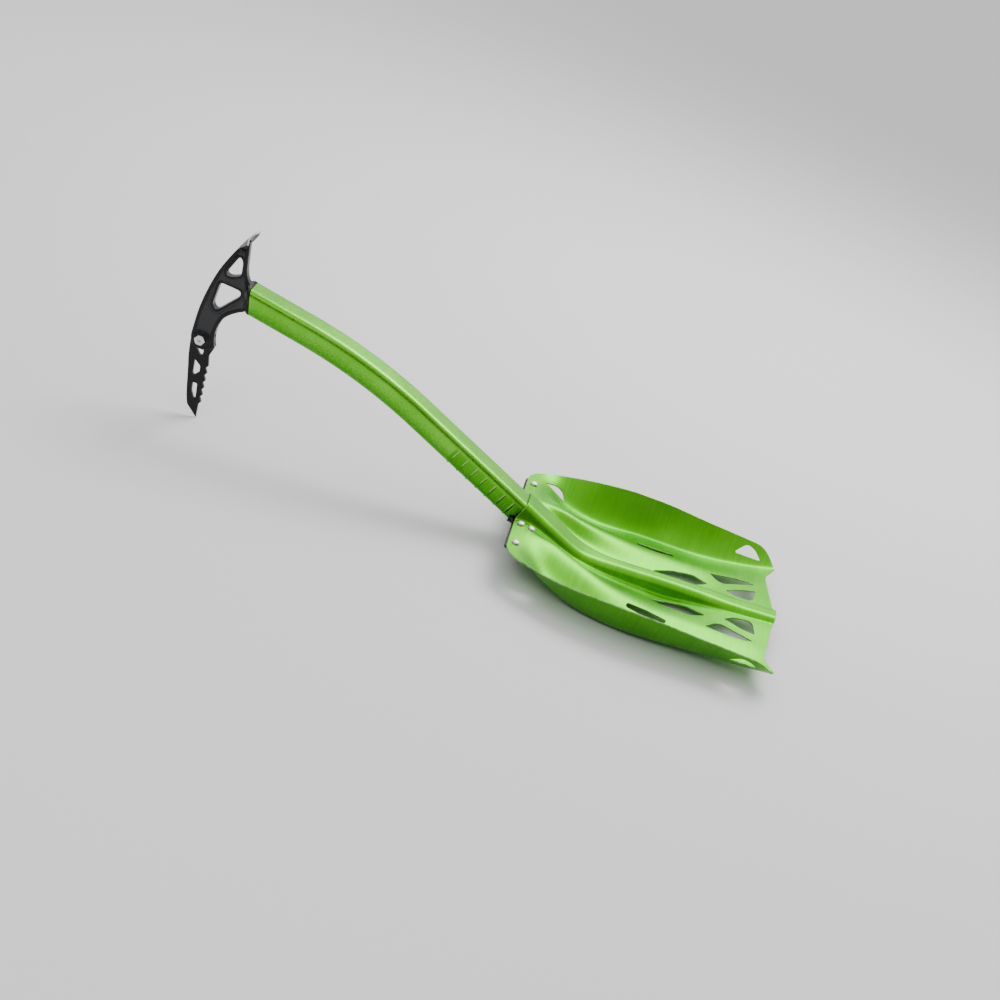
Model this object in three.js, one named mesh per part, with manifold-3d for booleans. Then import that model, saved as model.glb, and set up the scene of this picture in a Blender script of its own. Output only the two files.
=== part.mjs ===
// Avalanche shovel whose handle is an ice axe head. Millimetres, +Z up.
// The shovel lies scoop upwards: X runs from the head (-X) to the lip of the blade (+X), the
// symmetry plane is XZ, and Z = 0 is the ground under the blade's heel and the tip of the pick.
import * as THREE from "three";
import { mergeVertices } from "three/addons/utils/BufferGeometryUtils.js";
import Module from "manifold-3d";

const wasm = await Module();
wasm.setup();

// ---------------------------------------------------------------- driving dimensions
const GAP = 0.3; // clearance between neighbouring pieces
const SHEET = 1.6; // thickness of the blade's sheet
const SOCKET_MOUTH = new THREE.Vector3(44, 0, 35.5); // where the shaft's axis enters the blade
const LIFT = THREE.MathUtils.degToRad(24.5); // pitch of the lower shaft against the blade
const HEAD_PITCH = THREE.MathUtils.degToRad(10); // pitch of the upper shaft
const LOWER_SHAFT = 143.7; // straight length from the bend to the socket's mouth
const INSERTION = 45; // length of shaft inside the socket
const BEND_RADIUS = 565;
const UPPER_SHAFT = 62; // straight length from the head to the bend
const JOINT_LEAN = 0.36; // slope of the joint between shaft and head, from square
const SECTION = { front: 34, back: 30, height: 27, corner: 8 };
const WALL = 1.6; // thickness of the shaft's wall
const RIB_COUNT = 7;
const RIB_PITCH = 13.1;
const RIB_WIDTH = 4.4;
const RIB_HEIGHT = 0.8;
const FIRST_RIB = 11; // distance of the lowest rib from the mouth
const HEAD_THICKNESS = 10;
const PICK_THICKNESS = 4;
const ADZE_WIDTH = 45;
const BOLT = { x: -323.3, z: 88, shank: 2.9, acrossFlats: 10, headHeight: 4, nutHeight: 5 };
const RIVET = { head: 4.3, dome: 2.9, shank: 2.2, tail: 3.6, tailHeight: 1.2 };
const BUTTON = { along: 23, radius: 4.3, travel: 4.2, flange: 5.6, flangeHeight: 1.5 };

// ---------------------------------------------------------------- colours
const FINISH = {
  green: { color: 0x5fae3c, roughness: 0.35, metalness: 0.9 },
  darkGreen: { color: 0x4b9a2f, roughness: 0.4, metalness: 0.9 },
  black: { color: 0x151417, roughness: 0.45, metalness: 0.6 },
  steel: { color: 0xd9d9d6, roughness: 0.25, metalness: 1 },
  plastic: { color: 0x1c1c1c, roughness: 0.6, metalness: 0 },
};

// ---------------------------------------------------------------- solids and booleans
function solid(geometry) {
  const bare = geometry.index ? geometry.toNonIndexed() : geometry.clone();
  bare.deleteAttribute("normal");
  bare.deleteAttribute("uv");
  const merged = mergeVertices(bare, 1e-4);
  const vertProperties = merged.attributes.position.array;
  const triVerts = new Uint32Array(merged.index.array);
  return new wasm.Manifold(new wasm.Mesh({ numProp: 3, vertProperties, triVerts }));
}

function geometryOf(body) {
  const { vertProperties, triVerts } = body.getMesh();
  const geometry = new THREE.BufferGeometry();
  geometry.setAttribute("position", new THREE.BufferAttribute(vertProperties, 3));
  geometry.setIndex(new THREE.BufferAttribute(triVerts, 1));
  return geometry;
}

const join = (first, ...others) => others.reduce((sum, other) => sum.add(other), first);
const cut = (first, ...others) => others.reduce((rest, other) => rest.subtract(other), first);

// ---------------------------------------------------------------- outlines
// A closed outline through corners [x, y], each rounded off over the given setback.
function roundedOutline(corners, setback) {
  const points = corners.map(([x, y]) => new THREE.Vector2(x, y));
  const towards = (from, to) => {
    const step = Math.min(setback, from.distanceTo(to) * 0.45);
    return from.clone().add(to.clone().sub(from).setLength(step));
  };
  const outline = new THREE.Shape();
  points.forEach((corner, i) => {
    const start = towards(corner, points.at(i - 1));
    const end = towards(corner, points[(i + 1) % points.length]);
    if (i === 0) outline.moveTo(start.x, start.y);
    else outline.lineTo(start.x, start.y);
    outline.quadraticCurveTo(corner.x, corner.y, end.x, end.y);
  });
  outline.closePath();
  return outline;
}

// A plate whose outline is drawn in XZ, centred on y.
function plateXZ(outline, thickness, y = 0, curveSegments = 5) {
  const options = { depth: thickness, bevelEnabled: false, curveSegments };
  const geometry = new THREE.ExtrudeGeometry(outline, options);
  return geometry.rotateX(Math.PI / 2).translate(0, y + thickness / 2, 0);
}

// A prism along Z whose outline is drawn in XY.
function prismXY(outline, zFrom, zTo, curveSegments = 4) {
  const options = { depth: zTo - zFrom, bevelEnabled: false, curveSegments };
  return new THREE.ExtrudeGeometry(outline, options).translate(0, 0, zFrom);
}

// ---------------------------------------------------------------- frames along the shaft
// A frame whose X runs down the shaft and whose Z points out of its front face.
function shaftFrame(origin, pitch) {
  return new THREE.Matrix4().makeRotationY(pitch).setPosition(origin);
}

const socketFrame = shaftFrame(SOCKET_MOUTH, LIFT);
const downShaft = (pitch) => new THREE.Vector3(Math.cos(pitch), 0, -Math.sin(pitch));
const bendEnd = SOCKET_MOUTH.clone().addScaledVector(downShaft(LIFT), -LOWER_SHAFT);
const bendStart = new THREE.Vector3(
  bendEnd.x - BEND_RADIUS * (Math.sin(LIFT) - Math.sin(HEAD_PITCH)),
  0,
  bendEnd.z + BEND_RADIUS * (Math.cos(HEAD_PITCH) - Math.cos(LIFT)),
);
const shaftTop = bendStart.clone().addScaledVector(downShaft(HEAD_PITCH), -UPPER_SHAFT);
const shaftBottom = SOCKET_MOUTH.clone().addScaledVector(downShaft(LIFT), INSERTION);
const headFrame = shaftFrame(shaftTop, HEAD_PITCH);
// The joint between shaft and head leans: its front edge lies further up the shaft.
const jointFrame = headFrame.clone().multiply(
  new THREE.Matrix4().set(1, 0, -JOINT_LEAN, 0, 0, 1, 0, 0, 0, 0, 1, 0, 0, 0, 0, 1));

const BEND_STEPS = 9;

// The shaft's centre line, reaching past both ends by the given overrun. It runs upwards, which
// keeps the swept section's front on the scoop side: one step along the lower straight, one for
// each step of the bend, and one along the upper straight.
class ShaftLine extends THREE.Curve {
  constructor(overrun) {
    super();
    this.bottom = shaftBottom.clone().addScaledVector(downShaft(LIFT), overrun);
    this.top = shaftTop.clone().addScaledVector(downShaft(HEAD_PITCH), -overrun);
    this.steps = BEND_STEPS + 2;
  }

  getUtoTmapping(u) {
    return u;
  }

  getPoint(t, target = new THREE.Vector3()) {
    const place = t * this.steps - 1;
    if (place < 0) return target.lerpVectors(this.bottom, bendEnd, place + 1);
    if (place > BEND_STEPS) return target.lerpVectors(bendStart, this.top, place - BEND_STEPS);
    const pitch = THREE.MathUtils.lerp(LIFT, HEAD_PITCH, place / BEND_STEPS);
    const x = bendStart.x + BEND_RADIUS * (Math.sin(pitch) - Math.sin(HEAD_PITCH));
    const z = bendStart.z - BEND_RADIUS * (Math.cos(HEAD_PITCH) - Math.cos(pitch));
    return target.set(x, 0, z);
  }
}

// The shaft's rounded trapezoid grown by an amount. Shape X is the shaft's width, and shape Y
// points out of its front face.
function sectionOutline(grow) {
  const front = SECTION.front / 2 + grow;
  const back = SECTION.back / 2 + grow;
  const half = SECTION.height / 2 + grow;
  const corners = [
    [-back, -half],
    [back, -half],
    [front, half],
    [-front, half],
  ];
  return roundedOutline(corners, SECTION.corner + grow);
}

// A straight length of the section between two places along a shaft frame's X.
function sectionBlock(grow, from, to, frame, curveSegments = 4) {
  const options = { depth: to - from, bevelEnabled: false, curveSegments };
  const geometry = new THREE.ExtrudeGeometry(sectionOutline(grow), options);
  geometry.rotateX(Math.PI / 2).rotateZ(Math.PI / 2); // shape X to Y, shape Y to Z, depth to X
  return geometry.translate(from, 0, 0).applyMatrix4(frame);
}

function boxIn(frame, [x0, x1], [y0, y1], [z0, z1]) {
  const geometry = new THREE.BoxGeometry(x1 - x0, y1 - y0, z1 - z0);
  geometry.translate((x0 + x1) / 2, (y0 + y1) / 2, (z0 + z1) / 2);
  return geometry.applyMatrix4(frame);
}

// A round bar across the shaft's back wall, at a place along the socket.
function backBar(radius, along, zFrom, zTo) {
  const geometry = new THREE.CylinderGeometry(radius, radius, zTo - zFrom, 20);
  geometry.rotateX(Math.PI / 2).translate(along, 0, (zFrom + zTo) / 2);
  return geometry.applyMatrix4(socketFrame);
}

// ---------------------------------------------------------------- the blade's surface
// Rails run along the blade: [x, z] on the centre line and [x, y, z] beside it, on the scoop side.
const RIDGE = [[45, 52.4], [80, 36.4], [118, 19.2], [140, 16.2], [170, 17.1], [211, 19.9],
  [247, 21.6], [290, 22.6], [335, 26.1]];
const RIDGE_HALF_WIDTH = [[45, 19.3], [95, 19.3], [150, 14], [200, 13.5], [335, 15]];
const PAN = [[42, 32.9], [60, 32.2], [80, 25.8], [100, 18], [118, 11.8], [148, 6.3], [175, 5.2],
  [216, 6.1], [244, 9.8], [283, 15.6], [312, 18.9], [335, 21.6]];
const CREST = [[42, 40, 32.9], [60, 40, 32.6], [90, 42, 29.9], [115, 46, 23.6], [150, 54, 16.1],
  [180, 58, 12.6], [209, 61, 11.6], [264, 60, 14.2], [312, 63, 18.2], [335, 66, 20.6]];
const VALLEY = [[42, 66, 32.9], [60, 78, 30.6], [91, 88, 13.6], [130, 97, 2.8], [182, 106, 2.8],
  [251, 103, 7.1], [300, 107, 13.6], [335, 112, 20.6]];
const WING = [[42, 90, 33.2], [59, 105.5, 33.3], [107, 124.5, 35.9], [166, 133, 39.4],
  [238, 131.5, 38.1], [309, 129.4, 35.2], [335, 126, 28.6]];
const RIDGE_CORNER = 10.1;
const RIDGE_FLANK = 3; // steepest slope of the ridge's sides
const FOOT_WIDTH = 8; // flat width beside the ridge
const FILLET = 4;
const WING_SOFTNESS = 0.35; // share of the wing that curves out of the valley

// Smooth values along a rail: a cubic through its stations.
function alongRail(rail, x) {
  const last = rail.length - 1;
  const slope = (i, k) => {
    const a = rail[Math.max(i - 1, 0)];
    const b = rail[Math.min(i + 1, last)];
    return (b[k] - a[k]) / (b[0] - a[0]);
  };
  let i = 0;
  while (i < last - 1 && x > rail[i + 1][0]) i += 1;
  const width = rail[i + 1][0] - rail[i][0];
  const t = (x - rail[i][0]) / width;
  return rail[i].slice(1).map((start, n) => {
    const k = n + 1;
    if (t < 0) return start + slope(0, k) * t * width;
    if (t > 1) return rail[last][k] + slope(last, k) * (t - 1) * width;
    const t2 = t * t;
    const t3 = t2 * t;
    const ends = (2 * t3 - 3 * t2 + 1) * start + (3 * t2 - 2 * t3) * rail[i + 1][k];
    return ends + width * ((t3 - 2 * t2 + t) * slope(i, k) + (t3 - t2) * slope(i + 1, k));
  });
}

const smooth = (t) => THREE.MathUtils.smoothstep(t, 0, 1);

// Height of the pressed pan and wings at a distance from the centre line, without the ridge.
function panHeight(x, side) {
  const [foot] = alongRail(RIDGE_HALF_WIDTH, x);
  const [pan] = alongRail(PAN, x);
  const [crestY, crest] = alongRail(CREST, x);
  const [valleyY, valley] = alongRail(VALLEY, x);
  const [wingY, wing] = alongRail(WING, x);
  const panY = foot + FOOT_WIDTH;
  if (side <= crestY) return pan + (crest - pan) * smooth((side - panY) / (crestY - panY));
  if (side <= valleyY) {
    return crest + (valley - crest) * smooth((side - crestY) / (valleyY - crestY));
  }
  const t = (side - valleyY) / (wingY - valleyY);
  const rise = Math.hypot(t, WING_SOFTNESS) - WING_SOFTNESS;
  return valley + ((wing - valley) * rise) / (Math.hypot(1, WING_SOFTNESS) - WING_SOFTNESS);
}

// Height of the round-shouldered ridge that carries the shaft and stiffens the blade.
function ridgeHeight(x, side) {
  const [top] = alongRail(RIDGE, x);
  const [halfWidth] = alongRail(RIDGE_HALF_WIDTH, x);
  const flat = halfWidth - RIDGE_CORNER;
  const shoulder = flat + (RIDGE_CORNER * RIDGE_FLANK) / Math.hypot(1, RIDGE_FLANK);
  const out = Math.max(Math.min(side, shoulder) - flat, 0);
  const drop = RIDGE_CORNER - Math.sqrt(RIDGE_CORNER ** 2 - out ** 2);
  return top - drop - RIDGE_FLANK * Math.max(side - shoulder, 0);
}

// The greater of two heights, with a fillet where they meet.
function filletedMax(a, b) {
  const blend = Math.max(FILLET - Math.abs(a - b), 0) / FILLET;
  return Math.max(a, b) + (blend * blend * FILLET) / 4;
}

function bladeHeight(x, y) {
  return filletedMax(panHeight(x, Math.abs(y)), ridgeHeight(x, Math.abs(y)));
}

// Upward normal of a surface given as a height over the plan.
function normalOf(height, x, y) {
  const step = 0.05;
  const dx = height(x + step, y) - height(x - step, y);
  const dy = height(x, y + step) - height(x, y - step);
  return new THREE.Vector3(-dx, -dy, 2 * step).normalize();
}

// A thin box bent onto a surface. Its rows divide the run from one x to another, and its columns
// stand at the distances that sides(x) gives on both sides of the centre line. Each face stands
// off the surface by its own distance, and a top of null makes the box reach up to a flat ceiling.
function slabOn(height, sides, { from, to, rows, top, bottom, ceiling = 90 }) {
  const columns = sides(from).length - 1;
  const geometry = new THREE.BoxGeometry(2, 2, 2, rows, 2 * columns, 1);
  const position = geometry.attributes.position;
  for (let i = 0; i < position.count; i += 1) {
    const x = THREE.MathUtils.lerp(from, to, (position.getX(i) + 1) / 2);
    const column = Math.round(position.getY(i) * columns);
    const y = Math.sign(column) * sides(x)[Math.abs(column)];
    const upper = position.getZ(i) > 0;
    if (upper && top === null) {
      position.setXYZ(i, x, y, ceiling);
      continue;
    }
    const point = new THREE.Vector3(x, y, height(x, y));
    point.addScaledVector(normalOf(height, x, y), upper ? top : bottom);
    position.setXYZ(i, point.x, point.y, point.z);
  }
  return geometry;
}

// Places across the blade, counted in rails: 0 centre, 1 foot, 2 crest, 3 valley, 4 wing edge.
const COLUMNS = [0, 0.34, 0.5, 0.61, 0.7, 0.82, 0.9, 1, 1.5, 2, 2.5, 3, 3.25, 3.6, 4, 4.25];

function bladeSides(x) {
  const rails = [
    0,
    alongRail(RIDGE_HALF_WIDTH, x)[0] + FOOT_WIDTH,
    alongRail(CREST, x)[0],
    alongRail(VALLEY, x)[0],
    alongRail(WING, x)[0],
  ];
  return COLUMNS.map((place) => {
    const i = Math.min(Math.floor(place), 3);
    return rails[i] + (rails[i + 1] - rails[i]) * (place - i);
  });
}

// ---------------------------------------------------------------- the blade
// One half of the blade's plan, from the middle of the top edge round to the middle of the lip.
function bladeOutline() {
  const half = new THREE.Path();
  half.moveTo(43, 0);
  half.lineTo(43, 80);
  half.quadraticCurveTo(43.5, 97, 59, 105.5);
  half.splineThru([[80, 115.5], [107, 124.5], [135, 130], [166, 133], [200, 133.3], [238, 131.5],
    [275, 130.3], [309, 129.4]].map(([x, y]) => new THREE.Vector2(x, y)));
  half.quadraticCurveTo(327, 128, 334.6, 112.3);
  half.lineTo(327, 96);
  half.quadraticCurveTo(324.5, 90, 325, 82);
  half.lineTo(331.5, 22);
  half.quadraticCurveTo(334.6, 16, 334.6, 0);
  const points = half.getPoints(3);
  const mirrored = points.slice(1, -1).reverse().map((p) => new THREE.Vector2(p.x, -p.y));
  return new THREE.Shape([...points, ...mirrored]);
}

// Windows pressed out of one half of the blade: corners [x, y] and the corners' setback.
const WINDOWS = [
  { corners: [[62, 90.5], [76, 100.5], [85, 101], [90, 94]], setback: 3 },
  { corners: [[286, 118], [298, 126.5], [308, 124.5], [318, 117.5]], setback: 4 },
  { corners: [[179, 67], [200, 67], [222, 72], [220, 79], [196, 77], [178, 73.5]], setback: 3 },
  { corners: [[201, 32], [224, 24], [243, 24], [262, 35], [245, 45], [222, 42]], setback: 4 },
  { corners: [[262, 59], [271, 48], [278, 44.5], [313, 62], [304, 65], [290, 65]], setback: 2.5 },
  { corners: [[281, 31.5], [291, 24], [306, 21.5], [311, 26], [314, 48], [299, 43]], setback: 3 },
];
const WINDOW_REACH = 60; // height of the tools that cut the windows

function windowTools() {
  return WINDOWS.flatMap(({ corners, setback }) => [1, -1].map((side) => {
    const placed = corners.map(([x, y]) => [x, side * y]);
    if (side < 0) placed.reverse();
    return solid(prismXY(roundedOutline(placed, setback), -5, WINDOW_REACH, 3));
  }));
}

const RIVET_PLACES = [[51, 72], [50.5, 29.5], [62.5, 30]].flatMap(([x, y]) => [[x, y], [x, -y]]);

// Moves geometry drawn about Z so that it stands on the blade's scoop face at (x, y).
function standOnBlade(geometry, [x, y]) {
  const pan = (px, py) => panHeight(px, Math.abs(py));
  const upright = new THREE.Vector3(0, 0, 1);
  const turn = new THREE.Quaternion().setFromUnitVectors(upright, normalOf(pan, x, y));
  return geometry.applyQuaternion(turn).translate(x, y, pan(x, y));
}

function rivetHoles() {
  return RIVET_PLACES.map((place) => {
    const bar = new THREE.CylinderGeometry(RIVET.shank + GAP, RIVET.shank + GAP, 20, 12);
    return solid(standOnBlade(bar.rotateX(Math.PI / 2), place));
  });
}

const SHEET_GRID = { from: 30, to: 340, rows: 21 }; // shared, so that faces a gap apart match

function bladeSheet() {
  const grid = { ...SHEET_GRID, top: 0, bottom: -SHEET };
  const slab = solid(slabOn(bladeHeight, bladeSides, grid));
  const trimmed = slab.intersect(solid(prismXY(bladeOutline(), -20, 100)));
  const mouth = solid(boxIn(socketFrame, [-40, 0], [-23, 23], [-6, 40]));
  return cut(trimmed, mouth, ...windowTools(), ...rivetHoles());
}

// ---------------------------------------------------------------- the rear bracket
// The bracket is pressed too. Its surface is stated SEAT above its upper face, so that it is the
// blade's own surface where the two lie together, and dips into a trough round the shaft's back.
const SEAT = SHEET + GAP + 0.1;
const BRACKET = 1.6; // thickness of the bracket's sheet
const TROUGH_GAP = 0.4; // clearance between the shaft and the trough
const TROUGH_FLAT = 7.2; // half width of the trough's flat bottom
const TROUGH_CORNER = 7;
const TROUGH_FLANK = 3; // slope of the trough's sides
const TROUGH_END = 81.5; // where the trough's end starts to rise
const TROUGH_RISE = 2; // slope of the trough's end
const LIP = { from: 44, depth: 0.03 }; // the trough's mouth curls down, away from the shaft

function troughHeight(x, side) {
  const deep = SECTION.height / 2 + TROUGH_GAP - SEAT;
  const bottomAt = (px) => SOCKET_MOUTH.z - (px - SOCKET_MOUTH.x) * Math.tan(LIFT)
    - deep / Math.cos(LIFT);
  const end = bottomAt(TROUGH_END) + TROUGH_RISE * (x - TROUGH_END);
  const bottom = filletedMax(bottomAt(x), end) - LIP.depth * Math.max(LIP.from - x, 0) ** 2;
  const shoulder = (TROUGH_CORNER * TROUGH_FLANK) / Math.hypot(1, TROUGH_FLANK);
  const out = THREE.MathUtils.clamp(side - TROUGH_FLAT, 0, shoulder);
  const rise = TROUGH_CORNER - Math.sqrt(TROUGH_CORNER ** 2 - out ** 2);
  return bottom + rise + TROUGH_FLANK * Math.max(side - TROUGH_FLAT - shoulder, 0);
}

function bracketHeight(x, y) {
  return -filletedMax(-panHeight(x, Math.abs(y)), -troughHeight(x, Math.abs(y)));
}

function rearBracket() {
  const sides = () => [0, TROUGH_FLAT, 10, 12.3, 14, 16, 18.4, 21, 24, 34, 60, 88];
  const grid = { from: 30, to: 110, rows: 14, top: -SEAT, bottom: -SEAT - BRACKET };
  const slab = solid(slabOn(bracketHeight, sides, grid));
  const half = [[36, 15], [41.2, 21], [41.2, 85], [50, 85], [62, 76], [66, 55], [84, 34],
    [103, 20]];
  const mirrored = half.map(([x, y]) => [x, -y]).reverse();
  const outline = roundedOutline([...half, ...mirrored].reverse(), 5);
  const buttonHole = solid(backBar(BUTTON.radius + 0.5, BUTTON.along, -30, 0));
  const drain = solid(boxIn(new THREE.Matrix4(), [84, 89], [-4, 4], [0, 25]));
  const aboveGrid = { ...SHEET_GRID, top: null, bottom: -SHEET - GAP };
  const above = solid(slabOn(bladeHeight, bladeSides, aboveGrid));
  const shaftSpace = solid(sectionBlock(TROUGH_GAP, -30, INSERTION + GAP, socketFrame));
  const body = slab.intersect(solid(prismXY(outline, -10, 70)));
  return cut(body, above, shaftSpace, buttonHole, drain, ...rivetHoles());
}

function rivet(place) {
  const { head, dome, shank, tail, tailHeight } = RIVET;
  const seat = 0.35;
  const back = -SHEET - GAP - BRACKET - 0.5;
  const profile = new THREE.Path();
  profile.moveTo(0, back - tailHeight);
  profile.lineTo(tail, back - tailHeight);
  profile.lineTo(tail, back);
  profile.lineTo(shank, back);
  profile.lineTo(shank, seat);
  profile.lineTo(head, seat);
  profile.quadraticCurveTo(head * 0.85, seat + dome, 0, seat + dome);
  const geometry = new THREE.LatheGeometry(profile.getPoints(3), 14);
  return standOnBlade(geometry.rotateX(Math.PI / 2), place);
}

// ---------------------------------------------------------------- the shaft
function shaftTube() {
  const swept = (grow, overrun, curveSegments) => {
    const line = new ShaftLine(overrun);
    const options = { steps: line.steps, extrudePath: line, curveSegments };
    return solid(new THREE.ExtrudeGeometry(sectionOutline(grow), options));
  };
  const pastBottom = solid(boxIn(socketFrame, [INSERTION, INSERTION + 30], [-20, 20], [-20, 20]));
  const pastJoint = solid(boxIn(jointFrame, [-30, 0], [-20, 20], [-20, 20]));
  const tube = cut(swept(0, 8, 4), swept(-WALL, 12, 3), pastBottom, pastJoint);
  const bore = solid(sectionBlock(-WALL + 0.01, -150, INSERTION + 5, socketFrame, 3));
  const frontFace = solid(boxIn(socketFrame, [-150, 0], [-30, 30], [6, 30]));
  const ribs = Array.from({ length: RIB_COUNT }, (_, i) => {
    const from = -FIRST_RIB - i * RIB_PITCH - RIB_WIDTH / 2;
    const ring = solid(sectionBlock(RIB_HEIGHT, from, from + RIB_WIDTH, socketFrame, 3));
    return cut(ring, bore, frontFace);
  });
  const buttonHole = solid(backBar(BUTTON.radius + GAP, BUTTON.along, -30, 0));
  return cut(join(tube, ...ribs), buttonHole);
}

function endPlug() {
  const length = 12;
  const body = solid(sectionBlock(-WALL - GAP, INSERTION - length, INSERTION - 0.2, socketFrame));
  const hollow = solid(sectionBlock(-WALL - GAP - 2, INSERTION - 30, INSERTION - 2, socketFrame));
  const drain = solid(boxIn(socketFrame, [INSERTION - 5, INSERTION + 10], [-5, 5], [-3, 3]));
  return cut(body, hollow, drain);
}

// The button stands pressed in, with its dome just under the shaft's back face.
function snapButton() {
  const { radius, flange, flangeHeight, travel } = BUTTON;
  const innerWall = -SECTION.height / 2 + WALL;
  const flangeTop = innerWall + GAP + travel;
  const domeTop = -SECTION.height / 2 + 0.2;
  const profile = new THREE.Path();
  profile.moveTo(0, domeTop);
  profile.quadraticCurveTo(radius, domeTop, radius, domeTop + 2);
  profile.lineTo(radius, flangeTop);
  profile.lineTo(flange, flangeTop);
  profile.lineTo(flange, flangeTop + flangeHeight);
  profile.lineTo(0, flangeTop + flangeHeight);
  const geometry = new THREE.LatheGeometry(profile.getPoints(3), 20);
  geometry.rotateX(Math.PI / 2).translate(BUTTON.along, 0, 0);
  return geometry.applyMatrix4(socketFrame);
}

// A bent leaf spring: one leg lies on the front wall, the other presses on the button.
function snapSpring() {
  const thickness = 0.8;
  const width = 9;
  const inner = SECTION.height / 2 - WALL - GAP;
  const buttonBack = -SECTION.height / 2 + WALL + GAP + BUTTON.travel + BUTTON.flangeHeight + GAP;
  const leaf = new THREE.Shape();
  leaf.moveTo(BUTTON.along + 6, inner);
  leaf.lineTo(-22, inner);
  leaf.quadraticCurveTo(-32, inner, -28, inner - 6);
  leaf.lineTo(BUTTON.along - 6, buttonBack);
  leaf.lineTo(BUTTON.along + 6, buttonBack);
  leaf.lineTo(BUTTON.along + 6, buttonBack + thickness);
  leaf.lineTo(BUTTON.along - 6, buttonBack + thickness);
  leaf.lineTo(-27, inner - 6 + thickness);
  leaf.quadraticCurveTo(-30.5, inner - thickness, -22, inner - thickness);
  leaf.lineTo(BUTTON.along + 6, inner - thickness);
  leaf.closePath();
  return plateXZ(leaf, width).applyMatrix4(socketFrame);
}

// ---------------------------------------------------------------- the axe head
function headOutline() {
  const outline = new THREE.Shape();
  outline.moveTo(-307.6, 84);
  outline.bezierCurveTo(-312, 94, -312, 106, -307, 117.3);
  outline.quadraticCurveTo(-301, 125.5, -281.5, 131);
  outline.lineTo(-288.4, 168.5);
  outline.quadraticCurveTo(-296, 173, -298, 185);
  outline.lineTo(-301.5, 205);
  outline.lineTo(-306.5, 205.5);
  outline.splineThru([[-316.3, 185.8], [-324.5, 165.5], [-330.4, 141.6], [-333.7, 118],
    [-334.6, 92]].map(([x, z]) => new THREE.Vector2(x, z)));
  outline.quadraticCurveTo(-334, 77, -322, 77);
  outline.quadraticCurveTo(-311, 77, -307.6, 84);
  return outline;
}

const HEAD_WINDOWS = [
  { corners: [[-307.5, 188], [-317, 165.5], [-311.5, 163.5], [-301, 168.5], [-303, 184]] },
  { corners: [[-319.5, 154.5], [-321.5, 129], [-316, 124], [-296.5, 147], [-297, 153]] },
];

// Shallow panels milled into both sides of the head.
const HEAD_PANELS = [
  [[-322.5, 161], [-308, 158.5], [-293, 159], [-295, 166], [-306, 160.5], [-319, 161.5]],
  [[-327.5, 122], [-321, 118.5], [-315, 117], [-314, 104], [-321, 100.5], [-328, 104]],
];
const PANEL_DEPTH = 1;
const COLLAR = { length: 2.5, flare: 15, proud: 0.3 };

function adze() {
  const side = new THREE.Shape();
  side.moveTo(-322, 174);
  side.quadraticCurveTo(-315, 188.5, -306.3, 205);
  side.lineTo(-300.9, 211.8);
  side.lineTo(-300.2, 211.2);
  side.lineTo(-302, 203.5);
  side.quadraticCurveTo(-308, 187, -314.5, 173.5);
  side.closePath();
  const plan = new THREE.Shape();
  const half = ADZE_WIDTH / 2;
  plan.moveTo(-6, -4.5);
  plan.quadraticCurveTo(20, -6, 41, -half);
  plan.quadraticCurveTo(44, 0, 41, half);
  plan.quadraticCurveTo(20, 6, -6, 4.5);
  plan.closePath();
  const spineAngle = Math.atan2(211.5 - 174, -300.5 + 320);
  const planPrism = prismXY(plan, -20, 20, 8);
  planPrism.rotateY(-spineAngle).translate(-320, 0, 174);
  return solid(plateXZ(side, ADZE_WIDTH + 4, 0, 4)).intersect(solid(planPrism));
}

// The plate flares out to the shaft's width as it reaches the collar.
function collarFlare() {
  const half = SECTION.front / 2 + COLLAR.proud;
  const plan = new THREE.Shape();
  plan.moveTo(-GAP, half);
  plan.lineTo(-COLLAR.length, half);
  plan.quadraticCurveTo(-COLLAR.length - 3, HEAD_THICKNESS / 2, -COLLAR.flare, 2);
  plan.lineTo(-COLLAR.flare, -2);
  plan.quadraticCurveTo(-COLLAR.length - 3, -HEAD_THICKNESS / 2, -COLLAR.length, -half);
  plan.lineTo(-GAP, -half);
  plan.closePath();
  const wedge = solid(prismXY(plan, -30, 30, 5).applyMatrix4(jointFrame));
  const block = solid(sectionBlock(COLLAR.proud, -COLLAR.flare - 1, -GAP, jointFrame));
  const silhouette = solid(plateXZ(headOutline(), 50));
  const ring = solid(sectionBlock(COLLAR.proud, -COLLAR.length, -GAP, jointFrame));
  return join(wedge.intersect(block).intersect(silhouette), ring);
}

function axeHead() {
  const pastCollar = solid(boxIn(jointFrame, [-GAP, 40], [-20, 20], [-40, 40]));
  const plate = cut(solid(plateXZ(headOutline(), HEAD_THICKNESS)), pastCollar);
  const collar = collarFlare();
  const tang = solid(sectionBlock(-WALL - GAP, -2, 40, jointFrame));
  const tangHollow = solid(sectionBlock(-WALL - 4, 4, 60, jointFrame));
  const windows = HEAD_WINDOWS.map(({ corners }) =>
    solid(plateXZ(roundedOutline(corners, 4), 60, 0, 3)));
  const panels = HEAD_PANELS.flatMap((corners) => [1, -1].map((side) => {
    const y = side * (HEAD_THICKNESS / 2);
    return solid(plateXZ(roundedOutline(corners, 3), 2 * PANEL_DEPTH, y, 2));
  }));
  const slot = PICK_THICKNESS + 2 * GAP;
  const fork = solid(boxIn(new THREE.Matrix4(), [-345, -300], [-slot / 2, slot / 2], [60, 97]));
  const hole = new THREE.CylinderGeometry(BOLT.shank + GAP, BOLT.shank + GAP, 30, 24);
  const boltHole = solid(hole.translate(BOLT.x, 0, BOLT.z));
  const body = join(plate, collar, tang, adze());
  return cut(body, tangHollow, ...windows, ...panels, fork, boltHole);
}

const PICK_TEETH = 6;

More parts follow.
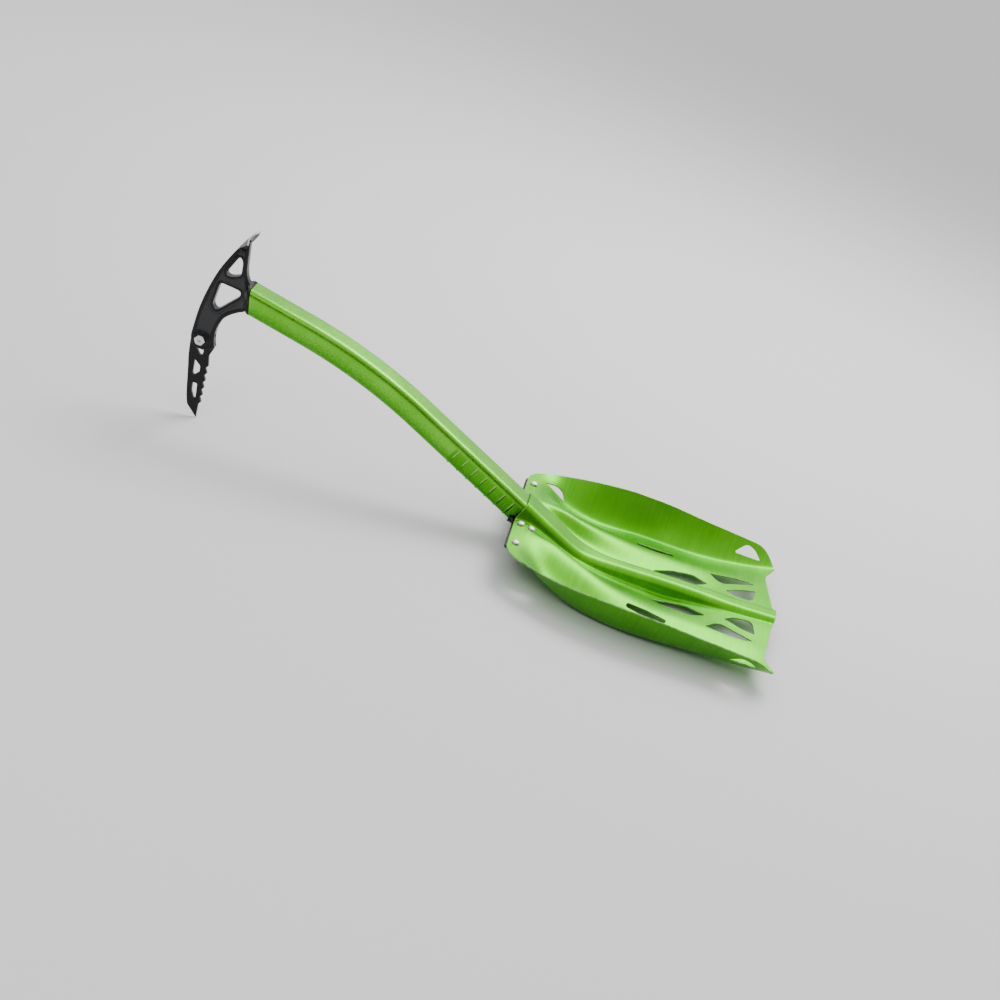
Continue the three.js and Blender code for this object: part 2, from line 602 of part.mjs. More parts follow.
// The pick's outline: straight back, hooked tip and barbs along the lower part of the inner edge.
function pickOutline() {
  const outline = new THREE.Shape();
  outline.moveTo(-331.5, 96);
  outline.lineTo(-334, 84);
  outline.splineThru([[-332, 67.5], [-328.2, 49], [-323.2, 24], [-319.7, 12]]
    .map(([x, z]) => new THREE.Vector2(x, z)));
  outline.lineTo(-307, 0);
  const top = new THREE.Vector2(-310.8, 66);
  const bottom = new THREE.Vector2(-307.6, 16);
  for (let i = PICK_TEETH; i > 0; i -= 1) {
    const root = bottom.clone().lerp(top, (PICK_TEETH - i) / PICK_TEETH);
    outline.lineTo(root.x - 0.6, root.y);
    outline.lineTo(root.x + 1.6, root.y + 3);
  }
  outline.lineTo(-311, 72);
  outline.lineTo(-307.8, 82);
  outline.quadraticCurveTo(-309, 90, -312, 96);
  outline.closePath();
  return outline;
}

const PICK_HOLES = [
  [[-326, 76.5], [-318, 77.5], [-317.5, 71], [-320, 69.5]],
  [[-324.2, 63.5], [-316.8, 58], [-316, 51.5], [-321, 45.5], [-322.6, 48]],
  [[-320, 37.5], [-315, 38], [-312.8, 22.5], [-314.5, 20], [-318.6, 27.5]],
];

function pick() {
  const plate = solid(plateXZ(pickOutline(), PICK_THICKNESS));
  const holes = PICK_HOLES.map((corners) =>
    solid(plateXZ(roundedOutline(corners, 1.6), PICK_THICKNESS + 10, 0, 3)));
  const hole = new THREE.CylinderGeometry(BOLT.shank + GAP, BOLT.shank + GAP, 30, 24);
  return cut(plate, ...holes, solid(hole.translate(BOLT.x, 0, BOLT.z)));
}

// A hexagonal or round bar along Y, from y0 to y1, at the bolt.
function boltBar(radius, y0, y1, sides) {
  const geometry = new THREE.CylinderGeometry(radius, radius, y1 - y0, sides);
  return solid(geometry.translate(BOLT.x, (y0 + y1) / 2, BOLT.z));
}

const HEX_RADIUS = BOLT.acrossFlats / 2 / Math.cos(Math.PI / 6);
const NEAR_FACE = -HEAD_THICKNESS / 2 - GAP;
const FAR_FACE = HEAD_THICKNESS / 2 + GAP;
const WASHER = { radius: 6.2, height: 1.2 };
const NUT_FACE = FAR_FACE + WASHER.height + GAP;

function pickBolt() {
  const head = boltBar(HEX_RADIUS, NEAR_FACE - BOLT.headHeight, NEAR_FACE, 6);
  const shank = boltBar(BOLT.shank, NEAR_FACE - 1, NUT_FACE + BOLT.nutHeight + 1, 24);
  return join(head, shank);
}

function pickNut() {
  const nut = boltBar(HEX_RADIUS, NUT_FACE, NUT_FACE + BOLT.nutHeight, 6);
  return cut(nut, boltBar(BOLT.shank + GAP, 0, 40, 24));
}

function nutWasher() {
  const ring = boltBar(WASHER.radius, FAR_FACE, FAR_FACE + WASHER.height, 28);
  return cut(ring, boltBar(BOLT.shank + GAP, 0, 40, 24));
}

// ---------------------------------------------------------------- assembly
const shovel = new THREE.Group();

function add(group, name, finish, body) {
  const geometry = body.isBufferGeometry ? body : geometryOf(body);
  const mesh = new THREE.Mesh(geometry, new THREE.MeshStandardMaterial(FINISH[finish]));
  mesh.name = name;
  group.add(mesh);
}

const blade = new THREE.Group();
add(blade, "blade_sheet", "green", bladeSheet());
add(blade, "rear_bracket", "black", rearBracket());
RIVET_PLACES.forEach((place, i) => add(blade, `blade_rivet_${i + 1}`, "steel", rivet(place)));

const handle = new THREE.Group();
add(handle, "shaft_tube", "darkGreen", shaftTube());
add(handle, "shaft_end_plug", "plastic", endPlug());
add(handle, "snap_spring", "steel", snapSpring());
add(handle, "axe_head", "black", axeHead());
add(handle, "pick", "black", pick());
add(handle, "pick_bolt", "steel", pickBolt());
add(handle, "pick_nut", "steel", pickNut());
add(handle, "pick_nut_washer", "steel", nutWasher());

const button = new THREE.Group();
add(button, "snap_button", "steel", snapButton());

shovel.add(blade, handle, button);

export default shovel;
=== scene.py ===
"""Finished look of the avalanche shovel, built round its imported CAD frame.

Shapes are worked out in millimetres, as in the CAD source, and turned into metres when each mesh
is made. X runs from the axe head to the blade's lip, Y across, and Z up out of the scoop.
"""

import math

import bpy
import numpy as np
from mathutils import Matrix, Vector, kdtree
from mathutils.geometry import delaunay_2d_cdt


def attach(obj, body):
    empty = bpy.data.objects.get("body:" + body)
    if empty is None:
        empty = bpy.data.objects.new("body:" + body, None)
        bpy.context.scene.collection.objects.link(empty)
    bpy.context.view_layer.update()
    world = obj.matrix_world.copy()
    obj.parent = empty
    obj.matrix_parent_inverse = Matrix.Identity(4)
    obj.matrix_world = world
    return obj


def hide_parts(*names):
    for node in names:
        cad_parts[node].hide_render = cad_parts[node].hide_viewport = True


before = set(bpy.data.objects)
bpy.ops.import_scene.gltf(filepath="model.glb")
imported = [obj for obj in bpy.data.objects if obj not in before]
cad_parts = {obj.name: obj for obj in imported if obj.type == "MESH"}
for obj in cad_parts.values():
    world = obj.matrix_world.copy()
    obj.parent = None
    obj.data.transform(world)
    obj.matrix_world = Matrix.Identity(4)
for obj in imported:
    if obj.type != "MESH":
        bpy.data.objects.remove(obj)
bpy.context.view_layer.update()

MM = 0.001

# ------------------------------------------------------------------ driving dimensions (mm)
SHEET = 1.6
GAP = 0.3
MOUTH = np.array([44.0, 0.0, 35.5])  # where the shaft's axis enters the blade
LIFT = math.radians(24.5)  # pitch of the lower shaft
HEAD_PITCH = math.radians(10)  # pitch of the upper shaft
LOWER_SHAFT = 143.7
INSERTION = 45.0
BEND_RADIUS = 565.0
UPPER_SHAFT = 62.0
JOINT_LEAN = 0.36  # slope of the joint between shaft and head, from square
FRONT_WIDTH = 34.0
BACK_WIDTH = 30.0
SECTION_HEIGHT = 27.0
SECTION_CORNER = 8.0
WALL = 1.6
RIB_COUNT = 7
RIB_PITCH = 13.1
RIB_HEIGHT = 0.8
GROOVE_DEPTH = 0.22  # fine grooves between the ribs
FIRST_RIB = 11.0
HEAD_HALF = 5.0  # half thickness of the axe head's plate
PICK_HALF = 2.0
BOLT = (-323.3, 88.0)
BUTTON_ALONG = 23.0
BUTTON_RADIUS = 4.3


# ------------------------------------------------------------------ outlines
class Outline:
    """A path of lines and curves, kept as a list of points."""

    def __init__(self, x, y):
        self.points = [(x, y)]

    def line(self, x, y):
        self.points.append((x, y))
        return self

    def quad(self, cx, cy, x, y, steps=10):
        x0, y0 = self.points[-1]
        for t in np.linspace(0, 1, steps + 1)[1:]:
            a, b, c = (1 - t) ** 2, 2 * t * (1 - t), t * t
            self.points.append((a * x0 + b * cx + c * x, a * y0 + b * cy + c * y))
        return self

    def cubic(self, ax, ay, bx, by, x, y, steps=14):
        x0, y0 = self.points[-1]
        for t in np.linspace(0, 1, steps + 1)[1:]:
            w = ((1 - t) ** 3, 3 * t * (1 - t) ** 2, 3 * t * t * (1 - t), t ** 3)
            self.points.append((w[0] * x0 + w[1] * ax + w[2] * bx + w[3] * x,
                                w[0] * y0 + w[1] * ay + w[2] * by + w[3] * y))
        return self

    def spline(self, *through, steps=6):
        knots = np.array([self.points[-1], *through], float)
        padded = np.vstack([2 * knots[0] - knots[1], knots, 2 * knots[-1] - knots[-2]])
        for i in range(1, len(knots)):
            p0, p1, p2, p3 = padded[i - 1:i + 3]
            for t in np.linspace(0, 1, steps + 1)[1:]:
                bend = (2 * p0 - 5 * p1 + 4 * p2 - p3) * t * t
                point = 0.5 * (2 * p1 + (p2 - p0) * t + bend + (3 * p1 - p0 - 3 * p2 + p3) * t ** 3)
                self.points.append(tuple(point))
        return self

    def array(self):
        return np.array(self.points, float)


def rounded(corners, setback, steps=8):
    """A closed outline with its corners rounded off over the given setback."""
    corners = np.array(corners, float)
    points = []
    for i, corner in enumerate(corners):
        ends = []
        for other in (corners[i - 1], corners[(i + 1) % len(corners)]):
            way = other - corner
            length = np.linalg.norm(way)
            ends.append(corner + way / length * min(setback, 0.45 * length))
        t = np.linspace(0, 1, steps + 1)[:, None]
        points.append((1 - t) ** 2 * ends[0] + 2 * t * (1 - t) * corner + t * t * ends[1])
    return np.vstack(points)


def signed_area(loop):
    x, y = loop.T
    return 0.5 * float(np.sum(x * np.roll(y, -1) - np.roll(x, -1) * y))


def divided(loop, spacing):
    """The closed loop with its long edges divided, and without points that nearly coincide."""
    points = []
    for a, b in zip(loop, np.roll(loop, -1, axis=0)):
        length = np.linalg.norm(b - a)
        if length < 0.05:
            continue
        count = max(1, math.ceil(length / spacing))
        points.extend(a + (b - a) * k / count for k in range(count))
    return np.array(points)


def inward(loop):
    """Unit normals at a closed loop's points, to the left of its way round."""
    edges = np.roll(loop, -1, axis=0) - loop
    left = np.column_stack([-edges[:, 1], edges[:, 0]])
    left /= np.linalg.norm(left, axis=1)[:, None]
    both = left + np.roll(left, 1, axis=0)
    return both / np.linalg.norm(both, axis=1)[:, None]


def inside(points, loops):
    """Even-odd test of points against closed loops."""
    hit = np.zeros(len(points), bool)
    for loop in loops:
        for (x0, y0), (x1, y1) in zip(loop, np.roll(loop, -1, axis=0)):
            if y0 == y1:
                continue
            spans = (points[:, 1] < y0) != (points[:, 1] < y1)
            cross = x0 + (points[:, 1] - y0) * (x1 - x0) / (y1 - y0)
            hit ^= spans & (points[:, 0] < cross)
    return hit


def distance_to(points, loop):
    """Distance from each point to the nearest place on a closed loop."""
    best = np.full(len(points), 1e9)
    for a, b in zip(loop, np.roll(loop, -1, axis=0)):
        edge = b - a
        t = np.clip(((points - a) @ edge) / max(edge @ edge, 1e-9), 0, 1)
        best = np.minimum(best, np.linalg.norm(points - a - t[:, None] * edge, axis=1))
    return best


def smooth(t):
    t = np.clip(t, 0, 1)
    return t * t * (3 - 2 * t)


# ------------------------------------------------------------------ meshes
def mesh_object(name, points, faces, normals=None, rim=None):
    """A smooth-shaded object from points in millimetres."""
    mesh = bpy.data.meshes.new(name)
    mesh.from_pydata((np.asarray(points) * MM).tolist(), [], faces)
    mesh.validate()
    mesh.shade_smooth()
    if rim is not None:
        layer = mesh.attributes.new("rim", "FLOAT", "POINT")
        layer.data.foreach_set("value", np.asarray(rim, np.float32))
    if normals is not None:
        mesh.normals_split_custom_set_from_vertices([tuple(n) for n in normals])
    piece = bpy.data.objects.new(name, mesh)
    bpy.context.scene.collection.objects.link(piece)
    return piece


def triangulated(loops, fill):
    """Triangles over the material between closed loops, through the fill points as well."""
    points = np.vstack([*loops, fill])
    edges = []
    start = 0
    for loop in loops:
        count = len(loop)
        edges.extend((start + k, start + (k + 1) % count) for k in range(count))
        start += count
    found = delaunay_2d_cdt([Vector(p) for p in points], edges, [], 0, 1e-4)
    out_points = np.array([tuple(v) for v in found[0]])
    first = {}
    for new, olds in enumerate(found[3]):
        for old in olds:
            first[old] = new
    triangles = np.array(found[2])
    middles = out_points[triangles].mean(axis=1)
    triangles = triangles[inside(middles, loops)]
    return out_points, triangles, [first[k] for k in range(start)]


def plate(name, outer, holes, place, fill, radius=0.4, spacing=1.3, clear=0.9, steps=3):
    """A closed plate over a plan. place(plan, side, depth) gives points and outward normals at a
    depth under the upper (0) or lower (1) face. Its edges are rounded by radius."""
    loops = []
    for turn, loop in [(1, outer)] + [(-1, hole) for hole in holes]:
        loop = divided(np.asarray(loop, float), spacing)
        loops.append(loop if signed_area(loop) * turn > 0 else loop[::-1])
    ways = [inward(loop) for loop in loops]
    insets = [loop + way * radius for loop, way in zip(loops, ways)]
    fill = fill[inside(fill, insets)]
    rim_tree = kdtree.KDTree(sum(len(loop) for loop in insets))
    for k, point in enumerate(np.vstack(insets)):
        rim_tree.insert((*point, 0), k)
    rim_tree.balance()
    fill = fill[[rim_tree.find((*point, 0))[2] > clear for point in fill]]
    plan, triangles, ring_start = triangulated(insets, fill)

    upper, upper_normals = place(plan, 0, 0.0)
    lower, lower_normals = place(plan, 1, 0.0)
    points = [upper, lower]
    normals = [upper_normals, lower_normals]
    count = len(plan)
    faces = [tuple(t) for t in triangles] + [tuple(t[::-1] + count) for t in triangles]
    edge_plan = np.vstack(loops)
    edge_way = np.vstack(ways)
    edges = len(edge_plan)
    rings = [np.array(ring_start)]
    total = 2 * count
    turns = [(0, math.pi / 2 * k / steps) for k in range(1, steps + 1)]
    turns += [(1, math.pi / 2 * k / steps) for k in range(steps, 0, -1)]
    for side, turn in turns:
        ring_plan = edge_plan + edge_way * radius * (1 - math.sin(turn))
        ring, facing = place(ring_plan, side, radius * (1 - math.cos(turn)))
        beyond, _ = place(ring_plan - edge_way * 0.1, side, radius * (1 - math.cos(turn)))
        outwards = beyond - ring
        outwards /= np.linalg.norm(outwards, axis=1)[:, None]
        points.append(ring)
        normals.append(facing * math.cos(turn) + outwards * math.sin(turn))
        rings.append(np.arange(total, total + edges))
        total += edges
    rings.append(np.array(ring_start) + count)
    start = 0
    for loop in loops:
        size = len(loop)
        for above, below in zip(rings, rings[1:]):
            for k in range(size):
                a, b = start + k, start + (k + 1) % size
                faces.append((above[a], below[a], below[b], above[b]))
        start += size
    rim = np.zeros(total)
    rim[2 * count:] = 1.0
    faces = [tuple(int(k) for k in face) for face in faces]
    return mesh_object(name, np.vstack(points), faces, np.vstack(normals), rim)


def lathe(profile, sides=48):
    """Points and faces of a profile of (radius, height) turned about Z, closed on the axis."""
    turns = np.linspace(0, 2 * math.pi, sides, endpoint=False)
    points = []
    faces = []
    rings = []
    for radius, height in profile:
        if radius < 1e-6:
            rings.append([len(points)] * sides)
            points.append((0.0, 0.0, height))
            continue
        rings.append(list(range(len(points), len(points) + sides)))
        points.extend((radius * math.cos(t), radius * math.sin(t), height) for t in turns)
    for low, high in zip(rings, rings[1:]):
        for k in range(sides):
            nxt = (k + 1) % sides
            face = dict.fromkeys((low[k], low[nxt], high[nxt], high[k]))
            faces.append(tuple(face))
    return np.array(points), faces


def with_modifiers(piece, *modifiers):
    """Adds modifiers, given as (type, {setting: value}), and applies them to the mesh."""
    for kind, settings in modifiers:
        modifier = piece.modifiers.new(kind.title(), kind)
        for key, value in settings.items():
            setattr(modifier, key, value)
    bpy.context.view_layer.update()
    evaluated = piece.evaluated_get(bpy.context.evaluated_depsgraph_get())
    made = bpy.data.meshes.new_from_object(evaluated)
    piece.modifiers.clear()
    piece.data = made
    return piece


def boolean(piece, tool, operation):
    """Joins or cuts a piece with a tool object, and removes the tool."""
    with_modifiers(piece, ("BOOLEAN", {"object": tool, "operation": operation, "solver": "EXACT"}))
    bpy.data.objects.remove(tool)
    return piece


def shade_by_angle(piece, degrees):
    piece.data.shade_smooth()
    piece.data.set_sharp_from_angle(angle=math.radians(degrees))
    return piece


def moved(points, axis_x, axis_z, origin):
    """Points placed in a frame given by its X and Z directions and its origin."""
    axis_x = np.asarray(axis_x, float) / np.linalg.norm(axis_x)
    axis_z = np.asarray(axis_z, float) / np.linalg.norm(axis_z)
    axis_y = np.cross(axis_z, axis_x)
    return np.asarray(points) @ np.array([axis_x, axis_y, axis_z]) + np.asarray(origin)


# ------------------------------------------------------------------ the blade's surface (mm)
# Rails run along the blade: x, z on the centre line and x, y, z beside it, on the scoop side.
RIDGE = [(45, 52.4), (80, 36.4), (118, 19.2), (140, 16.2), (170, 17.1), (211, 19.9), (247, 21.6),
         (290, 22.6), (335, 26.1)]
RIDGE_HALF_WIDTH = [(45, 19.3), (95, 19.3), (150, 14), (200, 13.5), (335, 15)]
PAN = [(42, 32.9), (60, 32.2), (80, 25.8), (100, 18), (118, 11.8), (148, 6.3), (175, 5.2),
       (216, 6.1), (244, 9.8), (283, 15.6), (312, 18.9), (335, 21.6)]
CREST = [(42, 40, 32.9), (60, 40, 32.6), (90, 42, 29.9), (115, 46, 23.6), (150, 54, 16.1),
         (180, 58, 12.6), (209, 61, 11.6), (264, 60, 14.2), (312, 63, 18.2), (335, 66, 20.6)]
VALLEY = [(42, 66, 32.9), (60, 78, 30.6), (91, 88, 13.6), (130, 97, 2.8), (182, 106, 2.8),
          (251, 103, 7.1), (300, 107, 13.6), (335, 112, 20.6)]
WING = [(42, 90, 33.2), (59, 105.5, 33.3), (107, 124.5, 35.9), (166, 133, 39.4),
        (238, 131.5, 38.1), (309, 129.4, 35.2), (335, 126, 28.6)]
RIDGE_CORNER = 10.1
RIDGE_FLANK = 3.0
FOOT_WIDTH = 8.0
FILLET = 4.0
WING_SOFTNESS = 0.35


def along_rail(rail, x):
    """Smooth values along a rail: a cubic through its stations. One array per value."""
    rail = np.array(rail, float)
    stations = rail[:, 0]
    slopes = np.empty((len(rail), rail.shape[1] - 1))
    slopes[1:-1] = (rail[2:, 1:] - rail[:-2, 1:]) / (stations[2:] - stations[:-2])[:, None]
    slopes[0] = (rail[1, 1:] - rail[0, 1:]) / (stations[1] - stations[0])
    slopes[-1] = (rail[-1, 1:] - rail[-2, 1:]) / (stations[-1] - stations[-2])
    i = np.clip(np.searchsorted(stations, x) - 1, 0, len(rail) - 2)
    width = (stations[i + 1] - stations[i])[:, None]
    t = (np.clip(x, stations[0], stations[-1]) - stations[i])[:, None] / width
    beyond = (x - np.clip(x, stations[0], stations[-1]))[:, None]
    end_slope = np.where(beyond < 0, slopes[0], slopes[-1])
    t2, t3 = t * t, t * t * t
    value = (2 * t3 - 3 * t2 + 1) * rail[i, 1:] + (3 * t2 - 2 * t3) * rail[i + 1, 1:]
    value += width * ((t3 - 2 * t2 + t) * slopes[i] + (t3 - t2) * slopes[i + 1])
    return (value + beyond * end_slope).T


def pan_height(x, side):
    """The pressed pan and wings, without the ridge."""
    (foot,) = along_rail(RIDGE_HALF_WIDTH, x)
    (pan,) = along_rail(PAN, x)
    crest_y, crest = along_rail(CREST, x)
    valley_y, valley = along_rail(VALLEY, x)
    wing_y, wing = along_rail(WING, x)
    pan_y = foot + FOOT_WIDTH
    inner = pan + (crest - pan) * smooth((side - pan_y) / (crest_y - pan_y))
    middle = crest + (valley - crest) * smooth((side - crest_y) / (valley_y - crest_y))
    t = np.maximum(side - valley_y, 0) / (wing_y - valley_y)
    rise = np.hypot(t, WING_SOFTNESS) - WING_SOFTNESS
    outer = valley + (wing - valley) * rise / (math.hypot(1, WING_SOFTNESS) - WING_SOFTNESS)
    return np.where(side <= crest_y, inner, np.where(side <= valley_y, middle, outer))


def ridge_height(x, side):
    """The round-shouldered ridge that carries the shaft."""
    (top,) = along_rail(RIDGE, x)
    (half_width,) = along_rail(RIDGE_HALF_WIDTH, x)
    flat = half_width - RIDGE_CORNER
    shoulder = flat + RIDGE_CORNER * RIDGE_FLANK / math.hypot(1, RIDGE_FLANK)
    out = np.maximum(np.minimum(side, shoulder) - flat, 0)
    drop = RIDGE_CORNER - np.sqrt(RIDGE_CORNER ** 2 - out ** 2)
    return top - drop - RIDGE_FLANK * np.maximum(side - shoulder, 0)


def filleted_max(a, b):
    blend = np.maximum(FILLET - np.abs(a - b), 0) / FILLET
    return np.maximum(a, b) + blend * blend * FILLET / 4


def blade_height(x, y):
    return filleted_max(pan_height(x, np.abs(y)), ridge_height(x, np.abs(y)))


def on_surface(height, top, thickness):
    """A place function for plate(): a sheet whose upper face stands off a height by top."""
    def place(plan, side, depth):
        x, y = np.asarray(plan, float).T
        step = 0.05
        dx = (height(x + step, y) - height(x - step, y)) / (2 * step)
        dy = (height(x, y + step) - height(x, y - step)) / (2 * step)
        normal = np.column_stack([-dx, -dy, np.ones(len(x))])
        normal /= np.linalg.norm(normal, axis=1)[:, None]
        stand = top - depth if side == 0 else top - thickness + depth
        points = np.column_stack([x, y, height(x, y)]) + normal * stand
        return points, normal if side == 0 else -normal
    return place


def staggered(x_from, x_to, pitch, columns):
    """Fill points in rows along X, every second row shifted by half its column's width."""
    rows = np.arange(x_from, x_to, pitch)
    columns = np.array(columns, float)
    halves = (columns + np.append(columns[1:], columns[-1] + 1)) / 2
    grid = [np.column_stack([np.full(len(columns), x), halves if k % 2 else columns])
            for k, x in enumerate(rows)]
    return np.vstack(grid)


# ------------------------------------------------------------------ the blade
def mouth_edge(y):
    """Where the blade's top edge crosses the ridge, square to the shaft."""
    x = np.full(len(y), MOUTH[0])
    for _ in range(12):
        x = MOUTH[0] + (blade_height(x, y) - MOUTH[2]) * math.tan(LIFT)
    return np.maximum(x, 43.0)


def blade_outline():
    across = np.linspace(0, 24, 25)
    half = Outline(mouth_edge(np.array([0.0]))[0], 0)
    for x, y in zip(mouth_edge(across)[1:], across[1:]):
        half.line(x, y)
    half.line(43, 80).quad(43.5, 97, 59, 105.5)
    half.spline((80, 115.5), (107, 124.5), (135, 130), (166, 133), (200, 133.3), (238, 131.5),
                (275, 130.3), (309, 129.4), steps=8)
    half.quad(327, 128, 334.6, 112.3, steps=12).line(327, 96).quad(324.5, 90, 325, 82)
    half.line(331.5, 22).quad(334.6, 16, 334.6, 0)
    points = half.array()
    return np.vstack([points, points[-2:0:-1] * (1, -1)])


WINDOWS = [  # corners (x, y) and the corners' setback
    ([(62, 90.5), (76, 100.5), (85, 101), (90, 94)], 3),
    ([(286, 118), (298, 126.5), (308, 124.5), (318, 117.5)], 4),
    ([(179, 67), (200, 67), (222, 72), (220, 79), (196, 77), (178, 73.5)], 3),
    ([(201, 32), (224, 24), (243, 24), (262, 35), (245, 45), (222, 42)], 4),
    ([(262, 59), (271, 48), (278, 44.5), (313, 62), (304, 65), (290, 65)], 2.5),
    ([(281, 31.5), (291, 24), (306, 21.5), (311, 26), (314, 48), (299, 43)], 3),
]
RIVETS = [(x, side * y) for x, y in ((51, 72), (50.5, 29.5), (62.5, 30)) for side in (1, -1)]


def make_blade():
    windows = [rounded(corners, setback) * (1, side)
               for corners, setback in WINDOWS for side in (1, -1)]
    near = np.arange(-31.2, 31.3, 1.3)
    far = np.arange(33.6, 134, 2.4)
    columns = np.concatenate([-far[::-1], near, far])
    fill = staggered(44, 336, 2.4, columns)
    return plate("blade_shell", blade_outline(), windows,
                 on_surface(blade_height, 0.0, SHEET), fill)


# ------------------------------------------------------------------ the rear bracket
SEAT = SHEET + GAP + 0.1
BRACKET = 1.6
TROUGH_GAP = 0.4
TROUGH_FLAT = 7.2
TROUGH_CORNER = 7.0
TROUGH_FLANK = 3.0
TROUGH_END = 81.5
TROUGH_RISE = 2.0
LIP_FROM = 44.0
LIP_DEPTH = 0.03


def trough_height(x, side):
    deep = (SECTION_HEIGHT / 2 + TROUGH_GAP - SEAT) / math.cos(LIFT)
    slope = math.tan(LIFT)
    bottom = MOUTH[2] - (x - MOUTH[0]) * slope - deep
    end_bottom = MOUTH[2] - (TROUGH_END - MOUTH[0]) * slope - deep
    bottom = filleted_max(bottom, end_bottom + TROUGH_RISE * (x - TROUGH_END))
    bottom = bottom - LIP_DEPTH * np.maximum(LIP_FROM - x, 0) ** 2
    shoulder = TROUGH_CORNER * TROUGH_FLANK / math.hypot(1, TROUGH_FLANK)
    out = np.clip(side - TROUGH_FLAT, 0, shoulder)
    rise = TROUGH_CORNER - np.sqrt(TROUGH_CORNER ** 2 - out ** 2)
    return bottom + rise + TROUGH_FLANK * np.maximum(side - TROUGH_FLAT - shoulder, 0)


def bracket_height(x, y):
    return -filleted_max(-pan_height(x, np.abs(y)), -trough_height(x, np.abs(y)))


def make_bracket():
    half = [(36, 15), (41.2, 21), (41.2, 85), (50, 85), (62, 76), (66, 55), (84, 34), (103, 20)]
    outline = rounded(half + [(x, -y) for x, y in reversed(half)], 5)
    turns = np.linspace(0, 2 * math.pi, 32, endpoint=False)
    deep = SECTION_HEIGHT / 2 + TROUGH_GAP - SEAT
    middle = MOUTH[0] + BUTTON_ALONG * math.cos(LIFT) - deep * math.sin(LIFT)
    hole = np.column_stack([middle + (BUTTON_RADIUS + 0.5) * math.cos(LIFT) * np.cos(turns),
                            (BUTTON_RADIUS + 0.5) * np.sin(turns)])
    drain = rounded([(84, -4), (88.5, -4), (88.5, 4), (84, 4)], 1.6)
    columns = np.concatenate([np.arange(-84, -25, 2.0), np.arange(-24, 24.1, 1.0),
                              np.arange(26, 85, 2.0)])
    return plate("bracket_shell", outline, [hole, drain],
                 on_surface(bracket_height, -SEAT, BRACKET), staggered(37, 103, 1.6, columns))


# ------------------------------------------------------------------ rivets
RIVET_HEAD = 4.3
RIVET_DOME = 2.9
RIVET_TAIL = 3.6


def make_rivets():
    seat = 0.05
    back = -SEAT - BRACKET - 0.2
    turns = np.linspace(0, 1, 9)
    dome = [(RIVET_HEAD * math.cos(t * math.pi / 2) ** 0.8, seat + 0.4
             + (RIVET_DOME - 0.4) * math.sin(t * math.pi / 2)) for t in turns]
    tail = [(0, back - 1.2), (RIVET_TAIL - 0.7, back - 1.2), (RIVET_TAIL - 0.2, back - 1.0),
            (RIVET_TAIL, back - 0.5), (RIVET_TAIL, back), (2.2, back)]
    profile = tail + [(2.2, seat), (RIVET_HEAD - 0.15, seat), (RIVET_HEAD, seat + 0.15)] + dome
    profile[-1] = (0, seat + RIVET_DOME)
    pieces = []
    pan = on_surface(lambda x, y: pan_height(x, np.abs(y)), 0.0, SHEET)
    for number, place in enumerate(RIVETS, 1):
        centre, normal = pan(np.array([place]), 0, 0.0)
        points, faces = lathe(profile, 40)
        points = moved(points, np.cross((0, 1, 0), normal[0]), normal[0], centre[0])
        piece = mesh_object(f"rivet_{number}", points, faces)
        pieces.append(shade_by_angle(piece, 50))
    return pieces


# ------------------------------------------------------------------ the shaft
BEND = BEND_RADIUS * (LIFT - HEAD_PITCH)
SHAFT_TOP = -LOWER_SHAFT - BEND - UPPER_SHAFT


def section(grow):
    """The shaft's rounded trapezoid as (y, n), with n out of its front face. Always 60 points."""
    front, back = FRONT_WIDTH / 2 + grow, BACK_WIDTH / 2 + grow
    half = SECTION_HEIGHT / 2 + grow
    corners = [(-back, -half), (back, -half), (front, half), (-front, half)]
    curved = rounded(corners, SECTION_CORNER + grow, steps=10).reshape(4, 11, 2)
    points = []
    for arc, following in zip(curved, np.roll(curved, -1, axis=0)):
        straight = np.linspace(arc[-1], following[0], 6)[1:-1]
        points.extend([*arc, *straight])
    return np.array(points)


def shaft_point(u):
    """Centre and pitch of the shaft at a distance u down the socket from its mouth."""
    down = np.array([math.cos(LIFT), 0, -math.sin(LIFT)])
    if u >= -LOWER_SHAFT:
        return MOUTH + u * down, LIFT
    pitch = max(LIFT - (-LOWER_SHAFT - u) / BEND_RADIUS, HEAD_PITCH)
    turn = np.array([math.sin(pitch) - math.sin(LIFT), 0, math.cos(pitch) - math.cos(LIFT)])
    centre = MOUTH - LOWER_SHAFT * down + BEND_RADIUS * turn
    beyond = min(u + LOWER_SHAFT + BEND, 0.0)
    return centre + beyond * np.array([math.cos(pitch), 0, -math.sin(pitch)]), pitch


def placed_section(outline, u):
    """A section outline placed at a distance down the shaft. It leans over as the joint does
    where it comes near to the head."""
    centre, pitch = shaft_point(u)
    front = np.array([math.sin(pitch), 0, math.cos(pitch)])
    down = np.array([math.cos(pitch), 0, -math.sin(pitch)])
    lean = JOINT_LEAN * smooth((SHAFT_TOP + UPPER_SHAFT - u) / (UPPER_SHAFT - 20))
    return (centre + outline[:, :1] * np.array([0, 1, 0])
            + outline[:, 1:] * (front - lean * down))


def ribbed_section(u):
    """The section with the grip's ribs, which stand proud of the sides and the back."""
    outline = section(0)
    centres = -FIRST_RIB - RIB_PITCH * np.arange(RIB_COUNT)
    nearest = np.min(np.abs(u - centres))
    mask = smooth((6.5 - outline[:, 1]) / 3)[:, None]
    between = (nearest / RIB_PITCH - 0.25) * 4  # -1 on a rib, 1 half way to the next
    fine = sum(math.exp(-((between - place) / 0.09) ** 2) for place in (-0.35, 0.3, 0.95))
    grown = section(RIB_HEIGHT * math.exp(-(nearest / 0.85) ** 2) - GROOVE_DEPTH * fine)
    return outline + (grown - outline) * mask


def rib_crest(u):
    """1 on the crest of a rib, falling off quickly beside it: the mask of the painted highlight on
    the ribs.
    """
    centres = -FIRST_RIB - RIB_PITCH * np.arange(RIB_COUNT)
    return math.exp(-(np.min(np.abs(u - centres)) / 0.5) ** 2)


